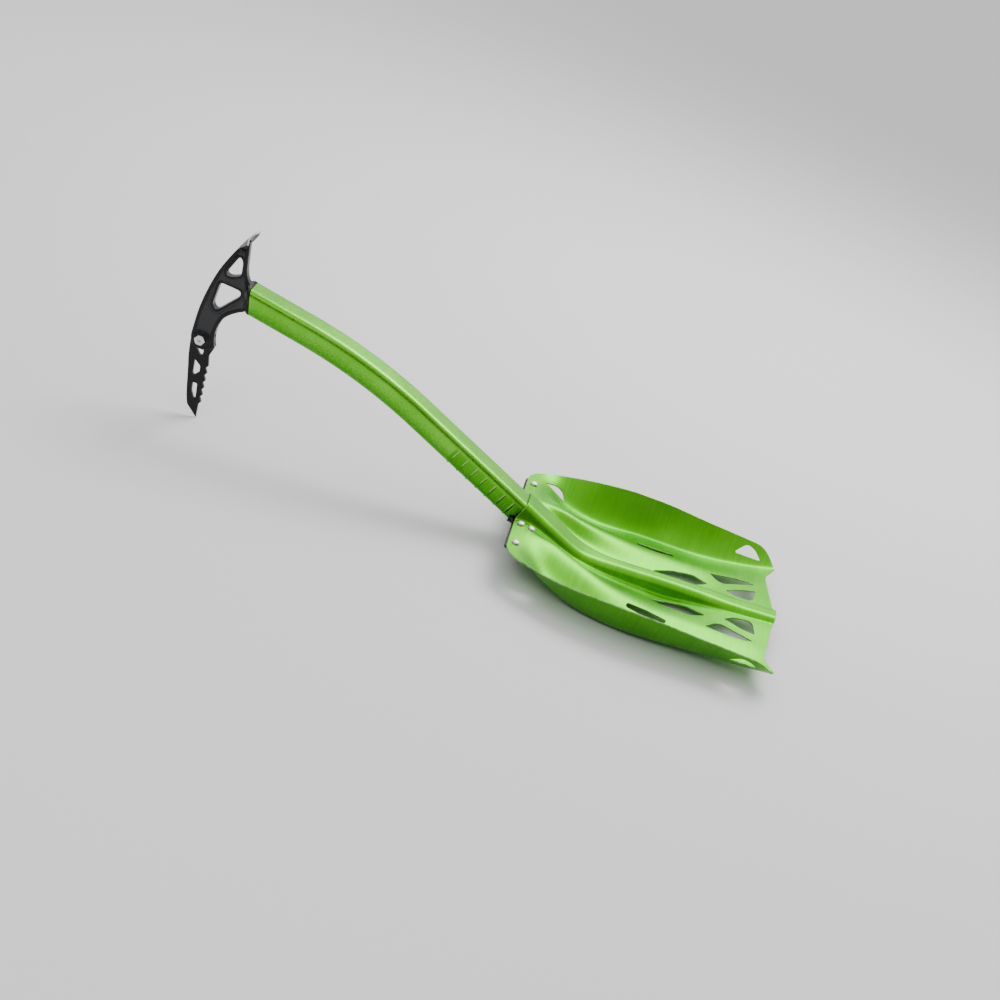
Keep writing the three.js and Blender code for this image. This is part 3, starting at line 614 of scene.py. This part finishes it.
def ring_faces(rows, size, closed):
    """Quads between rings of the same size; a closed skin joins the last ring to the first."""
    faces = []
    for row in range(rows if closed else rows - 1):
        below = (row + 1) % rows * size
        for i in range(size):
            j = (i + 1) % size
            faces.append((row * size + i, row * size + j, below + j, below + i))
    return faces


def make_shaft():
    grip_start = -FIRST_RIB + 3
    grip_end = -FIRST_RIB - RIB_PITCH * (RIB_COUNT - 1) - 4
    places = [*np.arange(INSERTION - 0.5, grip_start, -4.0), *np.arange(grip_start, grip_end, -0.45),
              *np.arange(grip_end, SHAFT_TOP + 2, -3.0), SHAFT_TOP + 0.4]
    rings = [placed_section(section(-0.5), INSERTION)]
    rings.extend(placed_section(ribbed_section(u), u) for u in places)
    rings.append(placed_section(section(-0.4), SHAFT_TOP))
    inner = section(-WALL)
    rings.extend(placed_section(inner, u) for u in np.linspace(SHAFT_TOP, INSERTION, 60))
    shaft = mesh_object("shaft_skin", np.vstack(rings), ring_faces(len(rings), len(inner), True))
    outer = [(u, n) for u in [INSERTION, *places, SHAFT_TOP] for _, n in section(0)]
    marks = {"grip": [float(u > grip_end) * smooth((8 - n) / 3) for u, n in outer],
             # low: painted shade, 1 towards the back of the section and 0 over the front face
             "low": [smooth((4 - n) / 14) for _, n in outer],
             # crest: a painted highlight along the crest of each rib
             "crest": [rib_crest(u) * smooth((8 - n) / 3) * smooth((n + 5) / 4) for u, n in outer]}
    for name, values in marks.items():
        layer = shaft.data.attributes.new(name, "FLOAT", "POINT")
        layer.data.foreach_set("value", values + [0.0] * (len(shaft.data.vertices) - len(values)))
    bar, faces = lathe([(0, -22), (BUTTON_RADIUS + 0.3, -22), (BUTTON_RADIUS + 0.3, 0), (0, 0)])
    centre, pitch = shaft_point(BUTTON_ALONG)
    bar = moved(bar, (math.cos(pitch), 0, -math.sin(pitch)),
                (math.sin(pitch), 0, math.cos(pitch)), centre)
    boolean(shaft, mesh_object("button_drill", bar, faces), "DIFFERENCE")
    return shade_by_angle(shaft, 35)


# ------------------------------------------------------------------ the axe head
HEAD_WINDOWS = [
    [(-307.5, 188), (-317, 165.5), (-311.5, 163.5), (-301, 168.5), (-303, 184)],
    [(-319.5, 154.5), (-321.5, 129), (-316, 124), (-296.5, 147), (-297, 153)],
]
BEAD_INSET = 5.6  # from the larger window's edge to the bead round it
COLLAR_PROUD = 0.3
COLLAR_LENGTH = 2.5
FLARE = 15.0
HEAD_CENTRE, _ = shaft_point(SHAFT_TOP - GAP)
UP_SHAFT = np.array([-math.cos(HEAD_PITCH), math.sin(HEAD_PITCH)])  # as (x, z)
OUT_FRONT = np.array([math.sin(HEAD_PITCH), math.cos(HEAD_PITCH)])
COLLAR_HALF = SECTION_HEIGHT / 2 + COLLAR_PROUD


def collar_corner(n, up=0.0):
    """A point (x, z) of the collar's end face, at a height n over the shaft's axis."""
    return HEAD_CENTRE[[0, 2]] + n * OUT_FRONT + (up + JOINT_LEAN * n) * UP_SHAFT


def head_outline():
    path = Outline(-307.6, 84).cubic(-312, 94, -312, 106, -307, 117.3, steps=24)
    path.quad(-301.5, 126.5, *collar_corner(-COLLAR_HALF, 4), steps=20)
    path.line(*collar_corner(-COLLAR_HALF)).line(*collar_corner(COLLAR_HALF))
    path.line(*collar_corner(COLLAR_HALF, 2.5)).quad(-296, 166.5, -298.4, 185, steps=20)
    path.line(-301.5, 205).line(-306.5, 205.5)
    path.spline((-316.3, 185.8), (-324.5, 165.5), (-330.4, 141.6), (-333.7, 118), (-334.6, 92),
                steps=16)
    path.quad(-334, 77, -322, 77, steps=14).quad(-311, 77, -307.6, 84, steps=10)
    return path.array()[:-1]


HEAD_OUTLINE = head_outline()
WINDOW_LOOPS = [rounded(corners, 4, 12) for corners in HEAD_WINDOWS]
SECTION_SIDE = section(COLLAR_PROUD)
SECTION_SIDE = SECTION_SIDE[SECTION_SIDE[:, 0] >= 0]
SECTION_SIDE = SECTION_SIDE[np.argsort(SECTION_SIDE[:, 1])]


def head_web(plan):
    """Where the head's plate is milled thinner: 1 in the webs, 0 on its ribs and rims."""
    spine = distance_to(plan, HEAD_OUTLINE)
    near_windows = np.minimum(*(distance_to(plan, loop) for loop in WINDOW_LOOPS))
    boss = np.hypot(plan[:, 0] - BOLT[0], plan[:, 1] - BOLT[1])
    web = smooth((spine - 3.2) / 0.9) * smooth((near_windows - 2.2) / 0.9)
    return web * smooth((boss - 9.8) / 0.9)


def head_thickness(plan):
    """Half thickness of the head's plate over its plan (x, z)."""
    edge = distance_to(plan, HEAD_OUTLINE)
    boss = np.hypot(plan[:, 0] - BOLT[0], plan[:, 1] - BOLT[1])
    half = HEAD_HALF - 1.1 * head_web(plan) - 0.5 * smooth(1 - edge / 2.5)
    half -= 0.45 * np.exp(-((boss - 8.4) / 0.45) ** 2)
    bead = np.exp(-((distance_to(plan, WINDOW_LOOPS[1]) - BEAD_INSET) / 0.55) ** 2)
    half += 0.75 * bead * smooth((edge - 1.8) / 1.2) * smooth((160 - plan[:, 1]) / 6)
    offset = plan - HEAD_CENTRE[[0, 2]]
    n = offset @ OUT_FRONT
    up = offset @ UP_SHAFT - JOINT_LEAN * n
    wide = np.interp(n, SECTION_SIDE[:, 1], SECTION_SIDE[:, 0])
    reach = np.clip((FLARE - up) / (FLARE - COLLAR_LENGTH), 0, 1)
    return half + np.maximum(wide - half, 0) * reach ** 2.6


def on_plate(thickness):
    """A place function for plate(): a plate on the XZ plane, its side 0 facing -Y."""
    def place(plan, side, depth):
        plan = np.asarray(plan, float)
        step = 0.12
        dx = (thickness(plan + (step, 0)) - thickness(plan - (step, 0))) / (2 * step)
        dz = (thickness(plan + (0, step)) - thickness(plan - (0, step))) / (2 * step)
        sign = -1.0 if side == 0 else 1.0
        normal = np.column_stack([-dx, np.full(len(plan), sign), -dz])
        normal /= np.linalg.norm(normal, axis=1)[:, None]
        return np.column_stack([plan[:, 0], sign * (thickness(plan) - depth), plan[:, 1]]), normal
    return place


def hex_grid(low, high, pitch):
    rows = np.arange(low[1], high[1], pitch * 0.866)
    columns = np.arange(low[0], high[0], pitch)
    return np.vstack([np.column_stack([columns + (k % 2) * pitch / 2, np.full(len(columns), z)])
                      for k, z in enumerate(rows)])


def box_tool(name, low, high):
    corners = [(x, y, z) for x in (low[0], high[0]) for y in (low[1], high[1])
               for z in (low[2], high[2])]
    faces = [(0, 1, 3, 2), (4, 6, 7, 5), (0, 4, 5, 1), (2, 3, 7, 6), (0, 2, 6, 4), (1, 5, 7, 3)]
    return mesh_object(name, corners, faces)


ADZE_HALF = 22.5
ADZE_ARCH = 3.8  # how far the middle of the edge stands out from its corners
ADZE_EDGE = (-300.9, 211.8)  # the cutting edge's middle, as (x, z)
ADZE_ALONG = np.array([0.475, 0.88])
ADZE_OUT = np.array([-0.88, 0.475])  # out of the adze's back
GROUND_BAND = 2.5  # how far back from the cutting edge the metal is ground bright
ADZE_NECK = 4.0  # half its width where it leaves the spine
ADZE_BACK = np.array([(-316.6, 183.0), (-310.6, 197.5), (-302.6, 212.6)])
ADZE_FRONT = np.array([(-309.5, 183.0), (-304.5, 196.0), (-302.2, 212.2)])


def make_adze():
    """The adze: it turns from the spine into a wide, thin and arched cutting edge."""
    across = np.linspace(-1, 1, 61)
    rings = []
    for t in np.linspace(0, 1, 40):
        weights = np.array([(1 - t) ** 2, 2 * t * (1 - t), t * t])
        back = weights @ ADZE_BACK
        front = weights @ ADZE_FRONT
        spread = smooth((t - 0.2) / 0.8) ** 1.5
        half = ADZE_NECK + (ADZE_HALF - ADZE_NECK) * spread
        arch = np.outer(-ADZE_ARCH * spread * across ** 2, ADZE_OUT)
        rows = [np.column_stack([x + arch[:, 0], half * across, z + arch[:, 1]])
                for x, z in (back, front)]
        rings.append(np.vstack([rows[0], rows[1][::-1]]))
    size = len(rings[0])
    faces = ring_faces(len(rings), size, False)
    last = (len(rings) - 1) * size
    for base, flip in ((0, True), (last, False)):
        for i in range(len(across) - 1):
            face = (base + i, base + i + 1, base + size - 2 - i, base + size - 1 - i)
            faces.append(face[::-1] if flip else face)
    return mesh_object("adze_blank", np.vstack(rings), faces)


def make_tang():
    """The part of the head that is bonded inside the shaft's upper end."""
    rings = [placed_section(section(-WALL - GAP - 0.4), SHAFT_TOP + 40)]
    rings.append(placed_section(section(-WALL - GAP), SHAFT_TOP + 39.4))
    rings.append(placed_section(section(-WALL - GAP), SHAFT_TOP - 2))
    rings.append(placed_section(section(-WALL - 4), SHAFT_TOP - 2))
    rings.append(placed_section(section(-WALL - 4), SHAFT_TOP + 40))
    return mesh_object("tang_blank", np.vstack(rings), ring_faces(len(rings), 60, True))


def bolt_hole():
    turns = np.linspace(0, 2 * math.pi, 40, endpoint=False)
    return np.array(BOLT) + 3.2 * np.column_stack([np.cos(turns), np.sin(turns)])


def make_head():
    head = plate("head_body", HEAD_OUTLINE, [*WINDOW_LOOPS, bolt_hole()],
                 on_plate(head_thickness), hex_grid((-336, 76), (-278, 207), 0.7),
                 radius=0.9, spacing=0.8, clear=0.5, steps=4)
    boolean(head, make_adze(), "UNION")
    boolean(head, make_tang(), "UNION")
    slot = PICK_HALF + GAP
    boolean(head, box_tool("fork_tool", (-345, -slot, 60), (-300, slot, 97)), "DIFFERENCE")
    return shade_by_angle(head, 30)


# ------------------------------------------------------------------ the pick
def pick_outline():
    path = Outline(-331.5, 96).line(-334, 84)
    path.spline((-332, 67.5), (-328.2, 49), (-323.2, 24), (-319.7, 12), steps=8).line(-307, 0)
    top, bottom = np.array([-310.8, 66]), np.array([-307.6, 16])
    for i in range(PICK_TEETH):
        root = bottom + (top - bottom) * i / PICK_TEETH
        path.line(root[0] - 0.6, root[1]).line(root[0] + 1.6, root[1] + 3)
    path.line(-311, 72).line(-307.8, 82).quad(-309, 90, -312, 96)
    return path.array()


PICK_TEETH = 6
PICK_HOLES = [
    [(-326, 76.5), (-318, 77.5), (-317.5, 71), (-320, 69.5)],
    [(-324.2, 63.5), (-316.8, 58), (-316, 51.5), (-321, 45.5), (-322.6, 48)],
    [(-320, 37.5), (-315, 38), (-312.8, 22.5), (-314.5, 20), (-318.6, 27.5)],
]


def make_pick():
    holes = [rounded(corners, 1.6) for corners in PICK_HOLES]

    def thickness(plan):
        """The plate thins towards its tip."""
        return PICK_HALF - 0.9 * smooth((20 - plan[:, 1]) / 20)
    return plate("pick_plate", pick_outline(), [*holes, bolt_hole()], on_plate(thickness),
                 hex_grid((-336, 0), (-304, 98), 1.4), radius=0.35, spacing=1.0, clear=0.6)


# ------------------------------------------------------------------ the pick's bolt and nut
ACROSS_FLATS = 10.0
NEAR_FACE = HEAD_HALF + GAP
WASHER_HEIGHT = 1.2
NUT_FACE = NEAR_FACE + WASHER_HEIGHT + GAP
NUT_HEIGHT = 5.0
BOLT_HEAD = 4.0
SHANK = 2.9
BOLT_PLACE = (BOLT[0], 0, BOLT[1])


def hexagon(name, low, high, chamfers):
    """A hexagonal bar between two heights, with the given ends turned to a cone."""
    radius = ACROSS_FLATS / 2 / math.cos(math.pi / 6)
    hexagon_points, hexagon_faces = lathe([(0, low), (radius, low), (radius, high), (0, high)], 6)
    cut = 1.0
    slope = cut * math.tan(math.radians(30))
    low_inset, high_inset = ((cut, slope) if end else (0, 0) for end in chamfers)
    cone = [(0, low), (radius - low_inset[0], low), (radius, low + low_inset[1]),
            (radius, high - high_inset[1]), (radius - high_inset[0], high), (0, high)]
    cone_points, cone_faces = lathe(cone, 48)
    bar = mesh_object(name, hexagon_points, hexagon_faces)
    return boolean(bar, mesh_object("hex_turning", cone_points, cone_faces), "INTERSECT")


def laid_on_bolt(piece):
    """Turns a piece made along Z so that it lies along Y at the bolt."""
    turn = Matrix.Rotation(math.radians(-90), 4, "X")
    piece.data.transform(Matrix.Translation(Vector(BOLT_PLACE) * MM) @ turn)
    return piece


def make_bolt():
    bolt = hexagon("bolt_body", -NEAR_FACE - BOLT_HEAD, -NEAR_FACE, (True, False))
    end = NUT_FACE + NUT_HEIGHT + 1
    shank = [(0, -NEAR_FACE - 1), (SHANK, -NEAR_FACE - 1), (SHANK, end - 0.6), (SHANK - 0.6, end),
             (0, end)]
    boolean(bolt, mesh_object("shank_blank", *lathe(shank, 40)), "UNION")
    socket = [(0, -30), (2.2, -30), (2.2, -NEAR_FACE - 2.2), (0, -NEAR_FACE - 1.2)]
    boolean(bolt, mesh_object("socket_tool", *lathe(socket, 6)), "DIFFERENCE")
    return shade_by_angle(laid_on_bolt(bolt), 30)


def make_nut():
    nut = hexagon("nut_body", NUT_FACE, NUT_FACE + NUT_HEIGHT, (True, True))
    bore = SHANK + GAP
    tool = [(0, 0), (bore, 0), (bore, 30), (0, 30)]
    boolean(nut, mesh_object("bore_tool", *lathe(tool, 40)), "DIFFERENCE")
    return shade_by_angle(laid_on_bolt(nut), 30)


# ------------------------------------------------------------------ the snap button
def make_button():
    inner_wall = -SECTION_HEIGHT / 2 + WALL
    flange_top = inner_wall + GAP + 4.2
    dome_top = -SECTION_HEIGHT / 2 + 0.2
    dome = [(BUTTON_RADIUS * math.sin(t), dome_top + 2 - 2 * math.cos(t))
            for t in np.linspace(0, math.pi / 2, 12)]
    profile = [*dome, (BUTTON_RADIUS, flange_top), (5.4, flange_top), (5.6, flange_top + 0.2),
               (5.6, flange_top + 1.3), (5.4, flange_top + 1.5), (0, flange_top + 1.5)]
    points, faces = lathe(profile, 48)
    centre, pitch = shaft_point(BUTTON_ALONG)
    points = moved(points, (math.cos(pitch), 0, -math.sin(pitch)),
                   (math.sin(pitch), 0, math.cos(pitch)), centre)
    return shade_by_angle(mesh_object("button_cap", points, faces), 40)


# ------------------------------------------------------------------ materials
class Finish:
    """A metal or plastic finish, put together from noise on the object's own coordinates."""

    def __init__(self, name, **constants):
        self.made = bpy.data.materials.new(name)
        self.made.use_nodes = True
        self.nodes = self.made.node_tree.nodes
        self.shader = self.nodes["Principled BSDF"]
        self.place = self.nodes.new("ShaderNodeTexCoord").outputs["Object"]
        for socket, value in constants.items():
            self.shader.inputs[socket.replace("_", " ")].default_value = value

    def node(self, kind, **inputs):
        made = self.nodes.new(kind)
        for socket, value in inputs.items():
            self.feed(made.inputs[socket.replace("_", " ")], value)
        return made

    def feed(self, socket, value):
        if isinstance(value, bpy.types.NodeSocket):
            self.made.node_tree.links.new(value, socket)
        else:
            socket.default_value = value

    def noise(self, size, detail=3.0, stretch=(1, 1, 1)):
        """Noise from 0 to 1 whose features are about size metres across, drawn out by stretch."""
        placed = self.node("ShaderNodeMapping", Vector=self.place,
                           Scale=tuple(1 / (size * s) for s in stretch))
        made = self.node("ShaderNodeTexNoise", Vector=placed.outputs[0], Scale=1.0, Detail=detail)
        return made.outputs["Fac"]

    def math(self, operation, a, b=0.0):
        made = self.nodes.new("ShaderNodeMath")
        made.operation = operation
        self.feed(made.inputs[0], a)
        self.feed(made.inputs[1], b)
        return made.outputs[0]

    def span(self, value, low, high, to_low=0.0, to_high=1.0):
        """The value moved from one range to another, and held inside it."""
        made = self.node("ShaderNodeMapRange", Value=value, From_Min=low, From_Max=high,
                         To_Min=to_low, To_Max=to_high)
        return made.outputs[0]

    def mix(self, share, a, b):
        made = self.nodes.new("ShaderNodeMix")
        made.data_type = "RGBA"
        self.feed(made.inputs[0], share)
        self.feed(made.inputs[6], a)
        self.feed(made.inputs[7], b)
        return made.outputs[2]

    def attribute(self, name):
        made = self.nodes.new("ShaderNodeAttribute")
        made.attribute_name = name
        return made.outputs["Fac"]

    def colour(self, value):
        self.feed(self.shader.inputs["Base Color"], value)

    def roughness(self, value):
        self.feed(self.shader.inputs["Roughness"], value)

    def bump(self, height, distance, strength=1.0):
        made = self.node("ShaderNodeBump", Height=height, Strength=strength, Distance=distance)
        self.feed(self.shader.inputs["Normal"], made.outputs[0])


def blade_finish():
    """Green anodised sheet: satin, faintly streaked by brushing, with painted shade darkening its cut
    edges.
    """
    look = Finish("blade_green", Metallic=1.0)
    cloud = look.noise(0.045, 4)
    streaks = look.noise(0.0016, 2, (1, 30, 30))
    grain = look.noise(0.0005, 2)
    tone = look.mix(look.span(cloud, 0.3, 0.7), (0.085, 0.42, 0.006, 1), (0.13, 0.53, 0.018, 1))
    tone = look.mix(look.span(streaks, 0.35, 0.75, 0, 0.35), tone, (0.045, 0.30, 0.006, 1))
    rim = look.attribute("rim")
    worn = look.math("MULTIPLY", rim, look.span(look.noise(0.006, 4), 0.35, 0.62))
    # painted shade: the rounded cut edges darkened
    tone = look.mix(look.math("MULTIPLY", rim, 0.45), tone, (0.015, 0.12, 0.005, 1))
    look.colour(look.mix(look.math("MULTIPLY", worn, 0.35), tone, (0.6, 0.72, 0.5, 1)))
    mixed = look.math("ADD", look.math("MULTIPLY", cloud, 0.10), look.math("MULTIPLY", grain, 0.12))
    look.roughness(look.math("ADD", mixed, 0.27))
    look.bump(look.math("ADD", grain, look.math("MULTIPLY", streaks, 0.6)), 0.00003)
    return look.made


def shaft_finish():
    """Green anodised tube: blasted and speckled, deeper in colour over the grip, with painted shade
    darkening it towards the back and painted highlights on the crests of the ribs."""
    look = Finish("shaft_green", Metallic=1.0)
    cloud = look.noise(0.03, 4)
    speckle = look.noise(0.0011, 3)
    grain = look.noise(0.0005, 2)
    tone = look.mix(look.span(cloud, 0.3, 0.7), (0.11, 0.47, 0.012, 1), (0.16, 0.56, 0.03, 1))
    # painted shade: the tube darkened towards its back, from the low mark
    tone = look.mix(look.math("MULTIPLY", look.attribute("low"), 0.8), tone, (0.02, 0.2, 0.002, 1))
    tone = look.mix(look.span(speckle, 0.5, 0.72, 0, 0.5), tone, (0.3, 0.68, 0.12, 1))
    tone = look.mix(look.span(speckle, 0.48, 0.3, 0, 0.45), tone, (0.03, 0.24, 0.003, 1))
    tone = look.mix(look.math("MULTIPLY", look.attribute("grip"), 0.6), tone,
                    (0.03, 0.25, 0.003, 1))
    # painted highlight: the rib crests lightened, from the crest mark
    look.colour(look.mix(look.math("MULTIPLY", look.attribute("crest"), 0.8), tone,
                         (0.5, 0.8, 0.3, 1)))
    look.roughness(look.span(speckle, 0.3, 0.7, 0.26, 0.42))
    look.bump(grain, 0.00006, 0.8)
    return look.made


def black_finish(name, base, web_colour, roughness):
    """Black coating: satin, with bare grey metal where the edges have worn, and on the head a painted
    highlight along the bead round its larger window.
    """
    look = Finish(name, Specular_IOR_Level=0.25)
    cloud = look.noise(0.02, 4)
    grain = look.noise(0.0004, 2)
    tone = look.mix(look.span(cloud, 0.3, 0.7), base, tuple(c * 1.5 for c in base[:3]) + (1,))
    tone = look.mix(look.math("MULTIPLY", look.attribute("web"), 0.9), tone, web_colour)
    scuffs = look.span(look.noise(0.003, 5), 0.52, 0.68)
    # on the head, rim also holds the painted bead highlight, so this mix paints it grey as well
    worn = look.math("MULTIPLY", look.attribute("rim"), look.math("ADD", scuffs, 0.12))
    tone = look.mix(look.math("MULTIPLY", worn, 0.15), tone, (0.32, 0.33, 0.34, 1))
    ground = look.attribute("ground")
    look.colour(look.mix(ground, tone, (0.62, 0.63, 0.62, 1)))
    look.feed(look.shader.inputs["Metallic"], look.span(ground, 0, 1, 0.1, 1.0))
    look.roughness(look.span(look.math("ADD", look.math("MULTIPLY", cloud, 0.6),
                                       look.math("MULTIPLY", grain, 0.4)),
                             0.3, 0.7, roughness - 0.08, roughness + 0.1))
    look.bump(grain, 0.00003, 0.7)
    return look.made


def steel_finish(name, base, roughness):
    """Bright turned or rolled metal, with fine scratches."""
    look = Finish(name, Metallic=1.0)
    cloud = look.noise(0.004, 4)
    scratches = look.noise(0.0003, 3, (1, 8, 1))
    dull = tuple(c * 0.72 for c in base[:3]) + (1,)
    look.colour(look.mix(look.span(cloud, 0.35, 0.7), base, dull))
    look.roughness(look.span(scratches, 0.3, 0.7, roughness - 0.07, roughness + 0.1))
    look.bump(scratches, 0.00002, 0.6)
    return look.made


def plastic_finish():
    """Black moulded plastic with a fine texture."""
    look = Finish("plug_black")
    cloud = look.noise(0.01, 4)
    grain = look.noise(0.0006, 2)
    look.colour(look.mix(cloud, (0.012, 0.012, 0.013, 1), (0.03, 0.03, 0.032, 1)))
    look.roughness(look.span(grain, 0.3, 0.7, 0.42, 0.6))
    look.bump(grain, 0.00006, 0.7)
    return look.made


# ------------------------------------------------------------------ room, light and camera
AIM = Vector((22.0, 0.0, 35.6)) * MM
CAMERA_DISTANCE = 1.7708
AZIMUTH = math.radians(-0.703)
ELEVATION = math.radians(26.198)
ROLL = math.radians(21.14)
FOCAL_LENGTH = 61.2


def make_camera():
    back = Vector((math.sin(AZIMUTH) * math.cos(ELEVATION),
                   -math.cos(AZIMUTH) * math.cos(ELEVATION), math.sin(ELEVATION)))
    level = Vector((math.cos(AZIMUTH), math.sin(AZIMUTH), 0))
    upright = back.cross(level)
    right = level * math.cos(ROLL) + upright * math.sin(ROLL)
    up = upright * math.cos(ROLL) - level * math.sin(ROLL)
    data = bpy.data.cameras.new("camera")
    data.lens = FOCAL_LENGTH
    data.clip_end = 200
    camera = bpy.data.objects.new("camera", data)
    bpy.context.scene.collection.objects.link(camera)
    turn = Matrix((right, up, back)).transposed().to_4x4()
    camera.matrix_world = Matrix.Translation(AIM + back * CAMERA_DISTANCE) @ turn
    bpy.context.scene.camera = camera


def area_light(name, place, target, size, power):
    data = bpy.data.lights.new(name, "AREA")
    data.shape = "RECTANGLE"
    data.size, data.size_y = size
    data.energy = power
    light = bpy.data.objects.new(name, data)
    bpy.context.scene.collection.objects.link(light)
    way = Vector(target) - Vector(place)
    light.matrix_world = Matrix.Translation(place) @ way.to_track_quat("-Z", "Y").to_matrix().to_4x4()
    return light


FLOOR_SIZE = 120.0  # metres
FLOOR_DROP = 0.0005
FLOOR_COLOUR = (0.86, 0.86, 0.86, 1)
WORLD_RANGE = (0.12, 1.12)  # the room's strength, from its dark side to its bright side
KEY_POWER = 30
FILL_POWER = 4


def make_room():
    bpy.ops.mesh.primitive_plane_add(size=FLOOR_SIZE)
    floor = bpy.context.object
    floor.name = "floor"
    floor.location.z = -FLOOR_DROP
    look = bpy.data.materials.new("floor_pale")
    look.use_nodes = True
    shader = look.node_tree.nodes["Principled BSDF"]
    shader.inputs["Base Color"].default_value = FLOOR_COLOUR
    shader.inputs["Roughness"].default_value = 0.9
    floor.data.materials.append(look)
    world = bpy.data.worlds.new("room")
    world.use_nodes = True
    sky = world.node_tree
    way = sky.nodes.new("ShaderNodeSeparateXYZ")
    sky.links.new(sky.nodes.new("ShaderNodeTexCoord").outputs["Generated"], way.inputs[0])
    spans = []
    for axis, dark, bright in ((1, -0.25, 0.55), (2, 0.4, 0.85)):
        span = sky.nodes.new("ShaderNodeMapRange")
        span.inputs["From Min"].default_value = dark
        span.inputs["From Max"].default_value = bright
        sky.links.new(way.outputs[axis], span.inputs["Value"])
        spans.append(span.outputs[0])
    brightest = sky.nodes.new("ShaderNodeMath")
    brightest.operation = "MAXIMUM"
    for socket, value in zip(brightest.inputs, spans):
        sky.links.new(value, socket)
    strength = sky.nodes.new("ShaderNodeMapRange")
    strength.inputs["To Min"].default_value = WORLD_RANGE[0]
    strength.inputs["To Max"].default_value = WORLD_RANGE[1]
    sky.links.new(brightest.outputs[0], strength.inputs["Value"])
    sky.links.new(strength.outputs[0], sky.nodes["Background"].inputs["Strength"])
    sky.nodes["Background"].inputs["Color"].default_value = (1, 1, 1, 1)
    bpy.context.scene.world = world
    area_light("key", (0.5, 1.1, 1.5), (0, 0, 0), (1.3, 0.9), KEY_POWER)
    area_light("front_fill", (-0.6, -1.2, 1.3), (0, 0, 0), (0.5, 0.5), FILL_POWER)


# ------------------------------------------------------------------ assembly
def fit(piece, look, body, slot, *nodes):
    """Gives a piece its finish, its body and the nodes it stands for. Its slot argument is not used.
    """
    piece.data.materials.clear()
    piece.data.materials.append(look)
    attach(piece, body)
    if nodes:
        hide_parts(*nodes)
    return piece


def refinish(node, look, bevel):
    """Keeps a CAD node's shape, and gives it soft edges and a finish."""
    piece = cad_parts[node]
    piece.data.materials.clear()
    piece.data.materials.append(look)
    modifier = piece.modifiers.new("soft_edges", "BEVEL")
    modifier.width = bevel * MM
    modifier.segments = 2
    modifier.limit_method = "ANGLE"
    modifier.angle_limit = math.radians(35)
    return piece


def head_marks(head):
    """Stores the head's webs and worn edges on its points, for its finish, with a painted highlight
    along its bead kept in the rim mark.
    """
    points = np.array([v.co for v in head.data.vertices]) / MM
    plan = points[:, [0, 2]]
    depth = head_thickness(plan) - np.abs(points[:, 1])
    edges = np.minimum.reduce([distance_to(plan, loop) for loop in (HEAD_OUTLINE, *WINDOW_LOOPS)])
    on_adze = smooth((plan[:, 1] - 190) / 6)
    along_adze = (plan - ADZE_EDGE) @ ADZE_ALONG
    arch = ADZE_ARCH * (points[:, 1] / ADZE_HALF) ** 2
    behind = (plan - ADZE_EDGE) @ ADZE_OUT + arch
    ground = smooth((along_adze + GROUND_BAND) / 0.6) * smooth(behind / 0.15 + 1.2)
    # bead: a painted highlight along the raised bead round the larger window
    bead = np.exp(-((distance_to(plan, WINDOW_LOOPS[1]) - BEAD_INSET) / 0.35) ** 2)
    bead *= smooth((edges - 2.2) / 0.8) * smooth((160 - plan[:, 1]) / 6)
    corner = smooth(1 - edges / 1.5) * smooth(1.6 - depth / 1.0)
    marks = {"web": head_web(plan) * (1 - on_adze) * smooth(2 - depth),
             # rim: worn edges together with the painted bead highlight
             "rim": np.maximum(corner, 0.8 * bead) * (1 - on_adze), "ground": ground}
    for name, value in marks.items():
        layer = head.data.attributes.get(name) or head.data.attributes.new(name, "FLOAT", "POINT")
        layer.data.foreach_set("value", value.astype(np.float32))


make_camera()
make_room()
BLACK = (0.006, 0.006, 0.007, 1)
head_look = black_finish("head_black", BLACK, (0.04, 0.041, 0.044, 1), 0.3)
rivet_look = steel_finish("rivet_aluminium", (0.9, 0.91, 0.89, 1), 0.38)
bolt_look = steel_finish("bolt_steel", (0.78, 0.78, 0.77, 1), 0.3)
fit(make_blade(), blade_finish(), "blade", "blade_anodised", "blade_sheet")
fit(make_bracket(), black_finish("bracket_black", BLACK, BLACK, 0.36), "blade", "bracket_black",
    "rear_bracket")
for number, rivet in enumerate(make_rivets(), 1):
    fit(rivet, rivet_look, "blade", "rivet_aluminium", f"blade_rivet_{number}")
fit(make_shaft(), shaft_finish(), "shaft", "shaft_anodised", "shaft_tube")
head_piece = make_head()
head_marks(head_piece)
fit(head_piece, head_look, "shaft", "head_black", "axe_head")
fit(make_pick(), black_finish("pick_black", BLACK, BLACK, 0.3), "shaft", "pick_black", "pick")
fit(make_bolt(), bolt_look, "shaft", "bolt_steel", "pick_bolt")
fit(make_nut(), bolt_look, "shaft", "bolt_steel", "pick_nut")
fit(make_button(), steel_finish("button_steel", (0.6, 0.6, 0.6, 1), 0.22), "snap_button",
    "spring_steel", "snap_button")
refinish("pick_nut_washer", bolt_look, 0.15)
refinish("snap_spring", steel_finish("spring_steel", (0.45, 0.45, 0.46, 1), 0.3), 0.1)
refinish("shaft_end_plug", plastic_finish(), 0.3)
